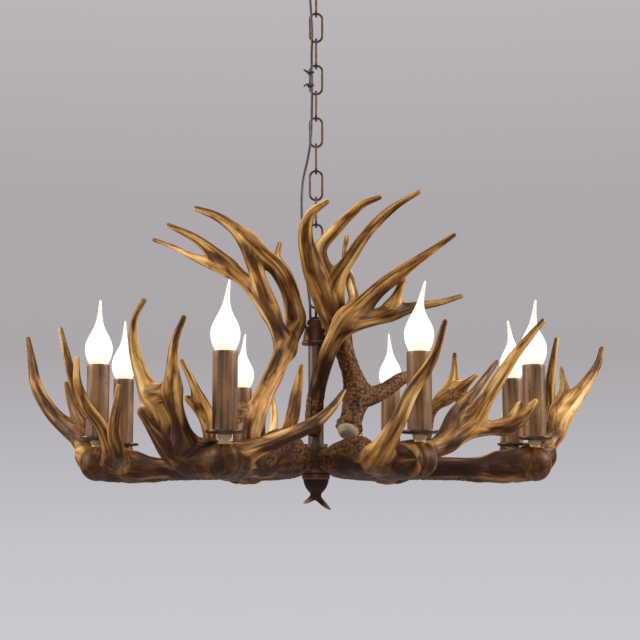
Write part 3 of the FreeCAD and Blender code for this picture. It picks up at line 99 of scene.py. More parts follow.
# ------------------------------------------------------------------ tables of the antlers
# Each ring antler: its beam's sway, its candle's swing and its limbs of
# (out, swing, rise, radius).
RING_ANTLERS = [
    # 1, right rear: a long tine leaning outwards, a short one behind
    ((2, 3, 1), -2, [
        [(-14, 0, 51, 13.5), (4, -6.3, 60, 12.5), (26, -9.8, 94, 11), (35, -11, 135, 9.5),
         (37, -12, 178, 8), (40, -13, 210, 5.5), (46, -13, 241, 3.7)],
        [(-16, 0, 51, 11), (-2, 3, 57, 11), (25, 8, 80, 10), (46, 12, 116, 8), (54, 13, 150, 6),
         (52, 12, 187, 3.7)],
    ]),
    # 2, right of the back: a crook with two tips and a leg, a long tine behind
    ((-3, -3, -1), 0, [
        [(-14, 0, 51, 13.5), (2, -6, 63, 12.5), (15, -9, 96, 11), (22, -11, 146, 9.5),
         (17, -17, 171, 8.5), (16, -23, 186, 6), (23, -26, 201, 3.7)],
        [(18, -16, 168, 7.5), (16, -19, 198, 6), (21, -19, 238, 3.7)],
        [(17, -20, 176, 7), (17, -23, 150, 7.5), (8, -19, 118, 8), (-4, -12, 78, 9), (-14, -4, 56, 10)],
        [(-16, 0, 51, 11), (-2, 3, 57, 11), (30, 9, 80, 9.5), (65, 12, 112, 8), (88, 13, 152, 6),
         (98, 12, 198, 3.7)],
    ]),
    # 3, left of the back: two tips leaning left, one inside, a long tine behind
    ((3, 4, 1), 0, [
        [(-14, 0, 51, 13.5), (0, 5, 63, 12.5), (10, 9, 93, 11), (9, 10, 137, 9.5),
         (11, 14, 180, 7), (11, 19, 227, 3.7)],
        [(9, 10, 128, 8), (15, 13, 149, 6), (21, 16, 165, 3.7)],
        [(-75, 2, 48, 12.5), (-77, -8, 84, 12.5), (-73, -13, 126, 12), (-71, -15, 172, 9.5),
         (-70, -17, 218, 4.5)],
        [(-16, 0, 51, 11), (-2, -3, 57, 11), (30, -8, 82, 9.5), (62, -11, 112, 8), (84, -12, 152, 6),
         (92, -11, 196, 3.7)],
    ]),
    # 4, left rear: a long tine leaning outwards, a short one behind
    ((-2, -4, -1), 0, [
        [(-14, 0, 51, 13.5), (9, 5, 64, 12.5), (34, 8, 95, 11), (49, 9, 140, 10),
         (57, 10, 182, 8), (64, 12, 225, 5.5), (68, 14, 256, 3.7)],
        [(-16, 0, 51, 11), (-2, -3, 57, 11), (25, -8, 82, 9.5), (46, -12, 116, 8), (54, -13, 150, 6),
         (52, -12, 187, 3.7)],
    ]),
    # 5, left: the longest tine outwards, one in front, one inside and a spur
    ((2, -3, 0), -1, [
        [(-14, -1, 51, 13.5), (-4, -6, 62, 13), (9, -10, 80, 12.5), (32, -16, 98, 11.5),
         (62, -20, 127, 10.5), (85, -22, 162, 9), (98, -25, 202, 6.5), (107, -26, 238, 3.7)],
        [(-18, 2, 53, 10.5), (-2, 7, 74, 9.5), (10, 7.5, 98, 9), (29, 7, 123, 8.5),
         (41, 6, 156, 6), (43, 6, 189, 3.7)],
        [(10, -11, 84, 8.5), (9, -13, 99, 8), (19, -15, 117, 7), (32, -17, 142, 5), (39, -18, 166, 3.7)],
        [(-22, 4, 50, 10.5), (-4, 12, 64, 9.5), (5, 13, 88, 8.5), (7, 14.5, 120, 6), (5, 15, 149, 3.7)],
        [(-44, -1, 47, 12.5), (-16, -3.5, 51, 14), (8, -6.5, 60, 12.5)],
    ]),
    # 6, left of the front: a fork of two long tines, a spur and a long tine across
    ((-1, -2, -1), 2, [
        [(-16, -2, 50, 13.5), (-2, -7, 54, 13.5), (8, -10.5, 66, 12.5), (15, -12, 102, 10.5),
         (25, -15, 136, 9.5), (33, -17, 172, 8.5), (36, -18, 206, 6.5), (33, -18, 234, 4.5),
         (24, -17, 255, 3.7)],
        [(2, -8, 58, 10.5), (15, -6.5, 76, 9.5), (25, -6.5, 96, 9), (35, -7, 124, 9),
         (43, -6.5, 160, 8), (47, -5.5, 198, 5.5), (43, -4, 225, 3.7)],
        [(8, -10, 58, 9), (20, -11, 70, 8), (30, -13, 88, 5.5), (38, -15, 109, 3.7)],
        [(24.5, -14.5, 134, 7.4), (30, -11, 135, 8), (38, -7, 136, 6.8)],
        [(-4, -7, 52, 12.5), (-26, -5, 50, 13.5), (-52, -1, 56, 13), (-78, 4, 66, 12),
         (-124, 16, 89, 10), (-142, 23, 103, 8.5), (-158, 31, 126, 6), (-170, 37, 147, 3.2)],
        [(-44, -1.2, 46, 12.4), (-20, -2.2, 51.5, 14.4), (0, -5.4, 58, 12.2)],
        [(-136, 0, 56, 14), (-160, 1, 74, 15), (-196, 2, 82, 14.5), (-240, 1, 74, 12)],
    ]),
    # 7, right of the front: a tall tine in front of the candle, three leaning right
    ((2, -2, -3), 1.4, [
        [(-28, -6, 46, 13.5), (-8, -9, 50, 13), (14, -8.5, 62, 12), (31, -6, 94, 10.5),
         (43, -4, 128, 9), (54, 0, 172, 6.5), (61, 2, 217, 3.7)],
        [(-34, -5, 46, 12.5), (-16, 0, 54, 12.5), (-20, 7, 63, 11.5), (-24, 14, 80, 11),
         (-20, 19, 98, 10.5), (1, 22, 138, 9.5), (25, 26, 188, 7), (53, 30, 233, 3.7)],
        [(-24, 12, 76, 9.5), (-32, 15, 102, 8.5), (-38, 26, 145, 6), (-35, 36, 186, 3.7)],
        [(-22, 18, 92, 8.5), (-10, 24, 92, 8), (6, 29, 98, 7), (12, 31, 124, 3.7)],
        [(4, 28, 97, 6), (18, 31, 108, 5), (30, 33, 129, 3.2)],
        [(-48, -1, 45, 13.5), (-24, -3, 47, 14.5), (4, -2, 48, 13)],
        [(-136, 0, 54, 14), (-160, 0, 68, 15), (-196, 0, 70, 14), (-238, 0, 64, 12)],
    ]),
    # 8, right: a long tine outwards with a short one beside it
    ((-3, -2, 1), 1.5, [
        [(-15, 1, 50, 13.5), (-4, 6, 61, 13), (10, 10.5, 80, 12.5), (39, 17, 124, 11),
         (75, 22, 172, 8.5), (96, 25, 202, 5.5), (105, 27, 224, 3.7)],
        [(20, 12, 96, 9), (24, 17, 128, 7.5), (38, 21, 163, 5), (36, 22, 191, 3.2)],
        [(-44, 1, 47, 12.5), (-16, 4, 51, 14), (8, 7, 60, 12.5)],
    ]),
]

# The beam's run from hub to candle: (share of the way, rise, radius).
BEAM_RUN = ((0.13, 52, 18.5), (0.3, 47, 17), (0.54, 44, 15), (0.79, 44, 14))
# A ring antler's root at the hub: (from the hub's edge, rise, radius).
BEAM_ROOT = ((0.3, 56, 16.5), (12.0, 56, 16.5))
# The arm under its candle's seat: (out, share of the candle's swing, rise, radius).
SEAT_ARM = ((-50, 0.0, 45, 13.0), (-24, 0.4, 46, 14.0), (0, 1.0, 49, 13.0))
# The upright seat itself, and the low fill from seat to fork: (share of the way, rise, radius).
SEAT = ((44.0, 13.2), (47.0, 13.2), (50.5, 13.2))
SEAT_FILL = ((0.0, 47.5, 11.8), (0.5, 46.5, 12.4), (1.0, 49.0, 12.4))
# The crown antler whose trunk shows its sawn foot, and that foot's first point.
SAWN_CROWN = 1
SAWN_FOOT = (46.0, -72.0, LEVEL + 97.0)
# The crown antlers' limbs of (x, y, rise, radius).
CROWN_ANTLERS = [
    # left: an upper limb to two tips, a lower limb to two tips and a cross limb
    [
        [(-88.67, -199.15, 64, 12), (-88.67, -199.15, 78, 12.5),
         (-82, -181, 106, 13), (-73, -152, 136, 13), (-59, -113, 171, 13), (-48, -78, 202, 12.5),
         (-38, -46, 229, 12.5), (-29, -25, 256, 12), (-33, -31, 283, 12), (-43, -45, 313, 12),
         (-59, -51, 337, 11.5), (-78, -56, 353, 11), (-98, -58, 372, 9.5), (-121, -60, 392, 8.5),
         (-145, -60, 408, 6.5), (-174, -60, 419, 4)],
        [(-42, -62, 212, 9), (-54, -62, 238, 9.5), (-63, -60, 262, 9.5), (-78, -52, 285, 9.5),
         (-94, -46, 305, 9), (-113, -40, 323, 9), (-131, -35, 342, 8.5), (-153, -30, 362, 8),
         (-180, -25, 383, 6), (-218, -20, 402, 3.7)],
        [(-131, -34, 334, 7), (-155, -20, 344, 6.5), (-186, 0, 359, 5), (-219, 25, 379, 3.5),
         (-246, 40, 391, 3.2)],
        [(-99, -58, 368, 8), (-93, -60, 343, 7.5), (-83, -60, 318, 7.5), (-74, -57, 292, 8),
         (-66, -58, 268, 8)],
        [(-82, -183, 84, 11), (-95, -184, 98, 12.5), (-104, -183, 117, 11)],
        [(-31, -24, 262, 8), (-27, 8, 276, 8), (-31, 34, 305, 7.5), (-43, 52, 340, 7),
         (-59, 60, 372, 5), (-56, 60, 389, 3.7)],
    ],
    # centre: a trunk with a branch, an upright tine and two tines leaning right
    [
        [(48, -64, 93, 15), (52, -55, 119, 15.5), (58, -45, 155, 14.5), (49, -32, 190, 13.5),
         (39, -26, 223, 12.5), (32, -30, 262, 12), (24, -36, 296, 11.5), (15, -40, 325, 9),
         (7, -45, 362, 8.5), (30, -50, 391, 8), (48, -55, 409, 7), (68, -58, 426, 5.5),
         (92, -60, 436, 3.7)],
        [(34, -28, 236, 11), (18, -38, 266, 12), (5, -44, 297, 12), (-5, -51, 322, 12),
         (-11, -60, 348, 11.5), (-15, -70, 369, 11), (-14, -80, 390, 9.5), (-8, -88, 404, 7.5),
         (16, -100, 421, 4)],
        [(24, -37, 296, 10), (35, -45, 324, 9.5), (51, -55, 349, 9), (70, -65, 376, 8),
         (92, -72, 400, 7), (118, -78, 421, 5), (148, -80, 439, 3.7)],
        [(58, -46, 150, 12), (78, -34, 148, 12), (101, -20, 158, 11), (127, -6, 176, 9.5),
         (150, 20, 182, 6)],
    ],
    # right: a long beam sweeping right, a second limb under it, a spike and a tine behind
    [
        [(-4, -32, 100, 12), (-3, -32, 122, 12.5), (2, -42, 158, 12.5), (11, -56, 190, 12.5),
         (22, -65, 220, 12), (38, -68, 247, 12), (66, -66, 277, 11), (93, -64, 303, 10),
         (126, -62, 328, 8.5), (160, -60, 352, 6), (200, -60, 380, 3.7)],
        [(50, -67, 252, 9.5), (70, -63, 254, 9), (93, -56, 260, 9), (119, -46, 269, 8),
         (145, -38, 278, 7), (179, -28, 285, 5), (213, -20, 296, 3.7)],
        [(108, -51, 274, 7.5), (116, -50, 288, 5.5), (127, -45, 313, 3.2)],
        [(42, -66, 256, 10), (50, -44, 272, 9.5), (56, -14, 292, 8.5), (51, 20, 324, 7.5),
         (44, 45, 369, 5), (47, 60, 401, 3.7)],
    ],
]

# How far the beaded burr reaches along each limb, in millimetres, antler by antler.
RING_BURR = [
    [260, 0], [430, 0, 90, 60], [330, 0, 60, 60], [300, 0],
    [70, 0, 0, 0], [90, 0, 0, 0, 0, 0, 190], [90, 60, 0, 0, 0, 0, 190], [70, 0],
]
CROWN_BURR = [[0, 0, 0, 0, 70, 0], [165, 0, 0, 110], [70, 0, 0, 0]]
# How each flame's tip bends: (to the right, away), in millimetres.
FLAME_BENDS = [
    (-5.5, 2.0), (-2.4, -3.0), (4.0, 2.0), (1.2, -2.0), (1.0, 1.5), (5.0, -2.0), (9.0, 2.0), (4.4, -3.0),
]
# A flame bulb's outline: (radius, height above the sleeve's rim).
BULB_PROFILE = [
    (5.2, -22), (6.6, -21), (6.9, -6), (8.2, -3.5), (11.4, -1.2), (14.6, 4.5), (17.6, 12.0), (19.0, 20.5),
    (18.6, 27.5), (16.5, 34.5), (13.4, 41.0), (10.2, 47.0), (7.2, 53.5), (5.1, 60.0), (3.8, 67.0),
    (2.9, 74.5), (2.3, 81.0), (1.8, 86.0), (1.4, 90.0), (0.7, 91.6),
]
# The cord's chosen points beside the chain, from canopy to collar.
CORD_POINTS = [
    (-9.5, -12.5, -20.0), (-10.5, -12.0, -48.0), (-8.5, -9.0, -80.0), (-6.0, -6.8, -118.0),
    (-6.9, -6.4, -160.0), (-6.1, -6.9, -202.0), (-6.6, -6.4, -243.0), (-7.6, -7.0, -283.0),
    (-12.6, -7.8, -319.0), (-19.2, -8.6, -350.0), (-21.6, -8.8, -386.0), (-20.4, -8.4, -424.0),
    (-17.6, -7.6, -464.0), (-13.2, -6.8, -503.0), (-9.2, -6.2, -536.0), (-8.2, -6.0, COLLAR_TOP),
]


# ------------------------------------------------------------------------------ geometry
TINY = 1e-6
# A rounded corner takes at most this share of the edge beside it.
MOST_OF_AN_EDGE = 0.49
# A heading counts as upright above this share of +Z.
NEARLY_UPRIGHT = 0.95
# The lattice's numbers: large odd steps, and masks that keep 32 and 24 bits.
HASH_STEPS = (73856093, 19349663, 83492791)
HASH_SEED = 2654435761
HASH_MIX = 1274126177
WORD = 0xFFFFFFFF
FRACTION = 0xFFFFFF
# Added to lattice places along a limb, so that they stay above zero before its start.
FAR_ALONG = 1000.0
# Where a bead lies in its cell, in cells, and the square of its reach.
BEAD_MARGIN = 0.15
BEAD_SPREAD = 0.7
BEAD_SIZE = 0.55


@dataclass
class Shell:
    """Vertices in millimetres and faces of one closed surface."""

    vertices: Array
    faces: list[Face]

    def moved(self, x: float, y: float, z: float) -> Shell:
        """The same shell moved by a step."""
        return Shell(self.vertices + np.array([x, y, z]), self.faces)

    def turned(self, degrees: float) -> Shell:
        """The same shell turned about the upright axis through the origin."""
        angle = math.radians(degrees)
        cosine, sine = math.cos(angle), math.sin(angle)
        return Shell(self.vertices @ np.array([[cosine, sine, 0], [-sine, cosine, 0], [0, 0, 1]]), self.faces)


def joined(shells: Iterable[Shell]) -> Shell:
    """Several shells as one.

    Args:
        shells: the shells, each with its own vertices.

    Returns:
        One shell that holds them all, faces renumbered.
    """
    faces: list[Face] = []
    vertices: list[Array] = []
    start = 0
    for shell in shells:
        faces += [tuple(i + start for i in face) for face in shell.faces]
        vertices.append(shell.vertices)
        start += len(shell.vertices)
    return Shell(np.concatenate(vertices), faces)


def round_angles(count: int) -> Array:
    """Evenly spaced angles once round, in radians."""
    return np.arange(count) * 2 * math.pi / count


def round_places(radius: Array | float, angle: Array, height: Array | float) -> Array:
    """Rows of (x, y, z) at radii, angles and heights about the upright axis."""
    columns = np.broadcast_arrays(radius * np.cos(angle), radius * np.sin(angle), height)
    return np.stack(columns, axis=-1).reshape(-1, 3)


def ring_faces(rings: int, around: int, closed: bool = False) -> list[Face]:
    """Quads between neighbouring rings of a grid.

    Args:
        rings: how many rings the grid has.
        around: how many vertices each ring has.
        closed: whether the last ring meets the first.

    Returns:
        Faces as tuples of vertex numbers, pointing outwards for a grid that climbs +Z
        anticlockwise.
    """
    rows = np.arange(rings if closed else rings - 1)[:, None]
    columns = np.arange(around)[None, :]
    beside = (columns + 1) % around
    here, above = rows * around, (rows + 1) % rings * around
    corners = np.broadcast_arrays(here + columns, here + beside, above + beside, above + columns)
    return [tuple(int(i) for i in quad) for quad in np.stack(corners, axis=-1).reshape(-1, 4)]


def poled(grid: Array, rings: int, first: Array, last: Array) -> Shell:
    """Rings closed by a fan of triangles at each end.

    Args:
        grid: the rings' vertices, ring after ring.
        rings: how many rings there are.
        first: the pole before the first ring.
        last: the pole after the last ring.

    Returns:
        The closed shell.
    """
    around = len(grid) // rings
    end = len(grid) - around
    fans = [(len(grid), (i + 1) % around, i) for i in range(around)]
    fans += [(len(grid) + 1, end + i, end + (i + 1) % around) for i in range(around)]
    return Shell(np.vstack([grid, first, last]), ring_faces(rings, around) + fans)


def turned_profile(profile: Outline, around: int = 64) -> Shell:
    """A surface of revolution about the upright axis.

    Formula: (r cos a, r sin a, z) for each (r, z) of the profile, a going once round.
    A closed outline, whose first and last points differ and lie off the axis, is closed
    on itself; an outline that starts and ends on the axis gets poles.

    Args:
        profile: (radius, height) pairs, going anticlockwise as seen with radius to the
            right, so that the faces point outwards.
        around: how many steps go round.

    Returns:
        The closed shell.
    """
    outline = np.array(profile, float)
    on_axis = outline[0, 0] < TINY and outline[-1, 0] < TINY
    body = outline[1:-1] if on_axis else outline
    grid = round_places(body[:, :1], round_angles(around), body[:, 1:])
    if on_axis:
        return poled(grid, len(body), np.array([0, 0, outline[0, 1]]), np.array([0, 0, outline[-1, 1]]))
    return Shell(grid, ring_faces(len(body), around, closed=True))


def tube(radius: Array, heights: Array, bore: float, bore_heights: tuple[float, float]) -> Shell:
    """An upright tube with a worked outer skin and a plain bore.

    Formula: (r cos a, r sin a, z) with r of the skin's grid outside and the bore's inside.

    Args:
        radius: the skin's radii, one row for each height and one column for each angle.
        heights: the rows' heights, going up.
        bore: the bore's radius.
        bore_heights: the bore's upper and lower edge.

    Returns:
        The closed shell, its skin's vertices first.
    """
    rows, around = radius.shape
    angle = round_angles(around)
    rings = [round_places(radius, angle, heights[:, None])]
    rings += [round_places(bore, angle, height) for height in bore_heights]
    return Shell(np.vstack(rings), ring_faces(rows + len(bore_heights), around, closed=True))


def rounded_profile(corners: Corners, steps: int = 5) -> Outline:
    """An outline with rounded corners.

    Formula: at each corner a quadratic Bezier runs from one point on the edge before it to
    one on the edge after it, each as far from the corner as the corner's rounding.

    Args:
        corners: (radius, height, rounding) in order; a rounding of 0 stays sharp.
        steps: points on each rounded corner.

    Returns:
        (radius, height) pairs.
    """
    places = np.array([(r, z) for r, z, _ in corners], float)
    share = np.linspace(0, 1, steps)[:, None]
    outline: list[Array] = []
    for i, (_, _, rounding) in enumerate(corners):
        place = places[i]
        if rounding <= 0 or i in (0, len(corners) - 1):
            outline.append(place[None, :])
            continue
        before, after = places[i - 1] - place, places[i + 1] - place
        first = place + before * min(rounding / np.linalg.norm(before), MOST_OF_AN_EDGE)
        last = place + after * min(rounding / np.linalg.norm(after), MOST_OF_AN_EDGE)
        outline.append((1 - share) ** 2 * first + 2 * share * (1 - share) * place + share**2 * last)
    return [(float(r), float(z)) for r, z in np.concatenate(outline)]


def smooth_step(share: Array) -> Array:
    """The smooth step 3t^2 - 2t^3 of shares from 0 to 1."""
    return share * share * (3 - 2 * share)


def smooth_run(points: Array, pitch: float) -> Array:
    """A rounded curve through points, evenly spaced.

    Formula: cubic Hermite pieces over the length of the chords; the slope at each point is
    the mean of the slopes beside it.

    Args:
        points: three or more rows of any columns, of which the first three are a place.
        pitch: about how far apart the new rows lie.

    Returns:
        The rows of the curve, with the same columns.
    """
    chords = np.linalg.norm(np.diff(points[:, :3], axis=0), axis=1)
    knots = np.concatenate([[0.0], np.cumsum(np.maximum(chords, TINY))])
    slopes = np.gradient(points, knots, axis=0)
    at = np.linspace(0, knots[-1], max(4, int(knots[-1] / pitch) + 1))
    piece = np.clip(np.searchsorted(knots, at, side="right") - 1, 0, len(points) - 2)
    width = (knots[piece + 1] - knots[piece])[:, None]
    share = (at[:, None] - knots[piece][:, None]) / width
    before = (2 * share**3 - 3 * share**2 + 1) * points[piece]
    before += (share**3 - 2 * share**2 + share) * width * slopes[piece]
    after = (3 * share**2 - 2 * share**3) * points[piece + 1]
    after += (share**3 - share**2) * width * slopes[piece + 1]
    return before + after


def frames_along(places: Array) -> tuple[Array, Array, Array]:
    """Headings and two normals along a path, carried on without twist.

    Formula: each normal is the one before it less its part along the new heading; the
    first starts from +Z, or from +X where the path sets out nearly upright.

    Args:
        places: the path's points.

    Returns:
        Headings, first normals and second normals, one row for each point.
    """
    heading = np.gradient(places, axis=0)
    heading /= np.linalg.norm(heading, axis=1)[:, None]
    upright = abs(heading[0, 2]) > NEARLY_UPRIGHT
    current = np.array([1.0, 0.0, 0.0] if upright else [0.0, 0.0, 1.0])
    normals = np.empty_like(heading)
    for i, along in enumerate(heading):
        current = current - (current @ along) * along
        current = current / np.linalg.norm(current)
        normals[i] = current
    return heading, normals, np.cross(heading, normals)


def carried_ring(path: Array, around: int = 24, closed: bool = False, squeeze: float = 1.0) -> Shell:
    """A round section carried along a path.

    Formula: p(s) + r(s) (cos a n(s) + squeeze sin a b(s)), a going once round; an open
    path ends in a pole at each end.

    Args:
        path: rows of (x, y, z, radius).
        around: how many steps go round the section.
        closed: whether the path closes on itself.
        squeeze: the section's second half-width over its first.

    Returns:
        The closed shell.
    """
    places, radii = path[:, :3], path[:, 3:]
    if closed:
        wrapped = np.vstack([places[-1:], places, places[:1]])
        _, normals, seconds = (rows[1:-1] for rows in frames_along(wrapped))
    else:
        _, normals, seconds = frames_along(places)
    angles = round_angles(around)
    grid = places[:, None, :] + (radii * np.cos(angles))[:, :, None] * normals[:, None, :]
    grid = grid + (squeeze * radii * np.sin(angles))[:, :, None] * seconds[:, None, :]
    grid = grid.reshape(-1, 3)
    if closed:
        return Shell(grid, ring_faces(len(path), around, closed=True))
    return poled(grid, len(path), places[0], places[-1])


def hashed(i: Array, j: Array, k: Array, seed: int) -> Array:
    """A repeatable number from 0 to 1 for each whole-number lattice point.

    Formula: the coordinates times large odd steps, mixed by exclusive or and shifts.

    Args:
        i: first coordinates.
        j: second coordinates.
        k: third coordinates.
        seed: which pattern.

    Returns:
        The numbers.
    """
    first, second, third = (values.astype(np.int64) * step for values, step in zip((i, j, k), HASH_STEPS))
    mixed = (first ^ second ^ third ^ (seed * HASH_SEED)) & WORD
    mixed = ((mixed ^ (mixed >> 13)) * HASH_MIX) & WORD
    mixed = mixed ^ (mixed >> 16)
    return (mixed & FRACTION) / float(FRACTION)


def ring_noise(angle: Array, along: Array, around: int, pitch: float, seed: int) -> Array:
    """Noise on a limb's skin, drawn out along the limb.

    Formula: values at lattice points, blended by the smooth step both ways; the lattice
    closes on itself round the limb.

    Args:
        angle: the place round the limb, in radians.
        along: the place along it, in millimetres.
        around: lattice points round the limb.
        pitch: distance of lattice points along the limb, in millimetres.
        seed: which pattern.

    Returns:
        Values from 0 to 1.
    """
    u = (angle / (2 * math.pi)) % 1.0 * around
    v = along / pitch + FAR_ALONG
    i, j = np.floor(u), np.floor(v)
    across, up = smooth_step(u - i), smooth_step(v - j)
    zero = np.zeros_like(i)
    left, right = (hashed(side, j, zero, seed) * (1 - up) + hashed(side, j + 1, zero, seed) * up
                   for side in (i % around, (i + 1) % around))
    return left * (1 - across) + right * across


def beads(places: Array, width: float, seed: int) -> Array:
    """Rounded beads scattered through space.

    Formula: 1 - d^2 / b, d the distance to the nearest of one scattered point for each
    cell of a cubic lattice, in cells, and b the square of a bead's reach.

    Args:
        places: points in millimetres.
        width: the lattice's pitch in millimetres.
        seed: which pattern.

    Returns:
        Heights from 0, between beads, to 1, on top of one.
    """
    scaled = places / width
    cell = np.floor(scaled)
    nearest = np.full(len(places), np.inf)
    for step in np.ndindex(3, 3, 3):
        near = cell + (np.array(step) - 1)
        scatter = np.stack([hashed(*near.T, seed + n) for n in range(3)], axis=1)
        spot = near + BEAD_MARGIN + BEAD_SPREAD * scatter
        nearest = np.minimum(nearest, ((scaled - spot) ** 2).sum(axis=1))
    return np.clip(1 - nearest / BEAD_SIZE, 0, 1)


def link_object(name: str, mesh: bpy.types.Mesh) -> bpy.types.Object:
    """An object at the origin with a mesh, linked to the scene."""
    obj = bpy.data.objects.new(name, mesh)
    bpy.context.scene.collection.objects.link(obj)
    return obj


def mesh_object(name: str, shell: Shell, smooth: bool = True) -> bpy.types.Object:
    """A mesh object at the origin from a shell in millimetres.

    Args:
        name: the object's name.
        shell: its surface.
        smooth: whether it is shaded smooth.

    Returns:
        The new object, linked to the scene.
    """
    mesh = bpy.data.meshes.new(name)
    mesh.from_pydata((shell.vertices * MM).tolist(), [], shell.faces)
    mesh.update()
    mesh.polygons.foreach_set("use_smooth", [smooth] * len(mesh.polygons))
    return link_object(name, mesh)


def crisp(obj: bpy.types.Object, degrees: float) -> bpy.types.Object:
    """Shades a smooth mesh with sharp edges where its faces meet at more than an angle."""
    obj.data.set_sharp_from_angle(angle=math.radians(degrees))
    return obj


def vertex_places(mesh: bpy.types.Mesh) -> Array:
    """A mesh's vertices, in millimetres."""
    values = np.empty(len(mesh.vertices) * 3, np.float32)
    mesh.vertices.foreach_get("co", values)
    return values.reshape(-1, 3).astype(float) / MM


def vertex_normals(mesh: bpy.types.Mesh) -> Array:
    """A mesh's vertex normals."""
    values = np.empty(len(mesh.vertices) * 3, np.float32)
    mesh.vertex_normals.foreach_get("vector", values)
    return values.reshape(-1, 3).astype(float)


def store_places(mesh: bpy.types.Mesh, places: Array) -> None:
    """Puts vertices in millimetres back into a mesh."""
    mesh.vertices.foreach_set("co", (places * MM).astype(np.float32).ravel())
    mesh.update()


class Stored(Enum):
    """What an attribute holds for each vertex: its type and the name of its values."""

    NUMBER = ("FLOAT", "value")
    VECTOR = ("FLOAT_VECTOR", "vector")
    COLOUR = ("FLOAT_COLOR", "color")


def store(mesh: bpy.types.Mesh, name: str, kind: Stored, values: Array) -> None:
    """Stores values for each vertex as an attribute.

    Args:
        mesh: the mesh.
        name: the attribute's name.
        kind: what one vertex gets.
        values: one row for each vertex.
    """
    made = mesh.attributes.new(name, kind.value[0], "POINT")
    made.data.foreach_set(kind.value[1], values.astype(np.float32).ravel())


# ----------------------------------------------------------------------------- shader maths
def _operator(operation: str, swapped: bool = False) -> Callable[[Wire, Wire | float], Wire]:
    """A Wire's method for one operator.

    Args:
        operation: the Math node's operation.
        swapped: whether the other value comes first.

    Returns:
        The method.
    """
    def method(self: Wire, other: Wire | float) -> Wire:
        """The wire worked with another value."""
        return self.maths(operation, *((other, self) if swapped else (self, other)))
    return method


class Wire:
    """A shader socket whose sums are written as Python expressions."""

    def __init__(self, graph: Graph, socket: bpy.types.NodeSocket) -> None:
        """Wraps a socket of a graph."""
        self.graph = graph
        self.socket = socket

    def maths(self, operation: str, *values: Wire | float) -> Wire:
        """A Math node on values."""
        return self.graph.node("ShaderNodeMath", {"operation": operation}, dict(enumerate(values)))

    __add__, __radd__ = _operator("ADD"), _operator("ADD", swapped=True)
    __sub__, __rsub__ = _operator("SUBTRACT"), _operator("SUBTRACT", swapped=True)
    __mul__, __rmul__ = _operator("MULTIPLY"), _operator("MULTIPLY", swapped=True)
    __truediv__, __rtruediv__ = _operator("DIVIDE"), _operator("DIVIDE", swapped=True)
    __pow__ = _operator("POWER")

    def held(self) -> Wire:
        """The value kept between 0 and 1."""
        return self.maths("MAXIMUM", self.maths("MINIMUM", self, 1.0), 0.0)

    def about(self, share: float) -> Wire:
        """A noise's swing about its middle, times a share."""
        return (self - 0.5) * share

    def between(self, low: float, high: float) -> Wire:
        """A smooth step from 0 at low to 1 at high."""
        return self.graph.node("ShaderNodeMapRange", {"interpolation_type": "SMOOTHSTEP"},
                               {"Value": self, "From Min": low, "From Max": high})


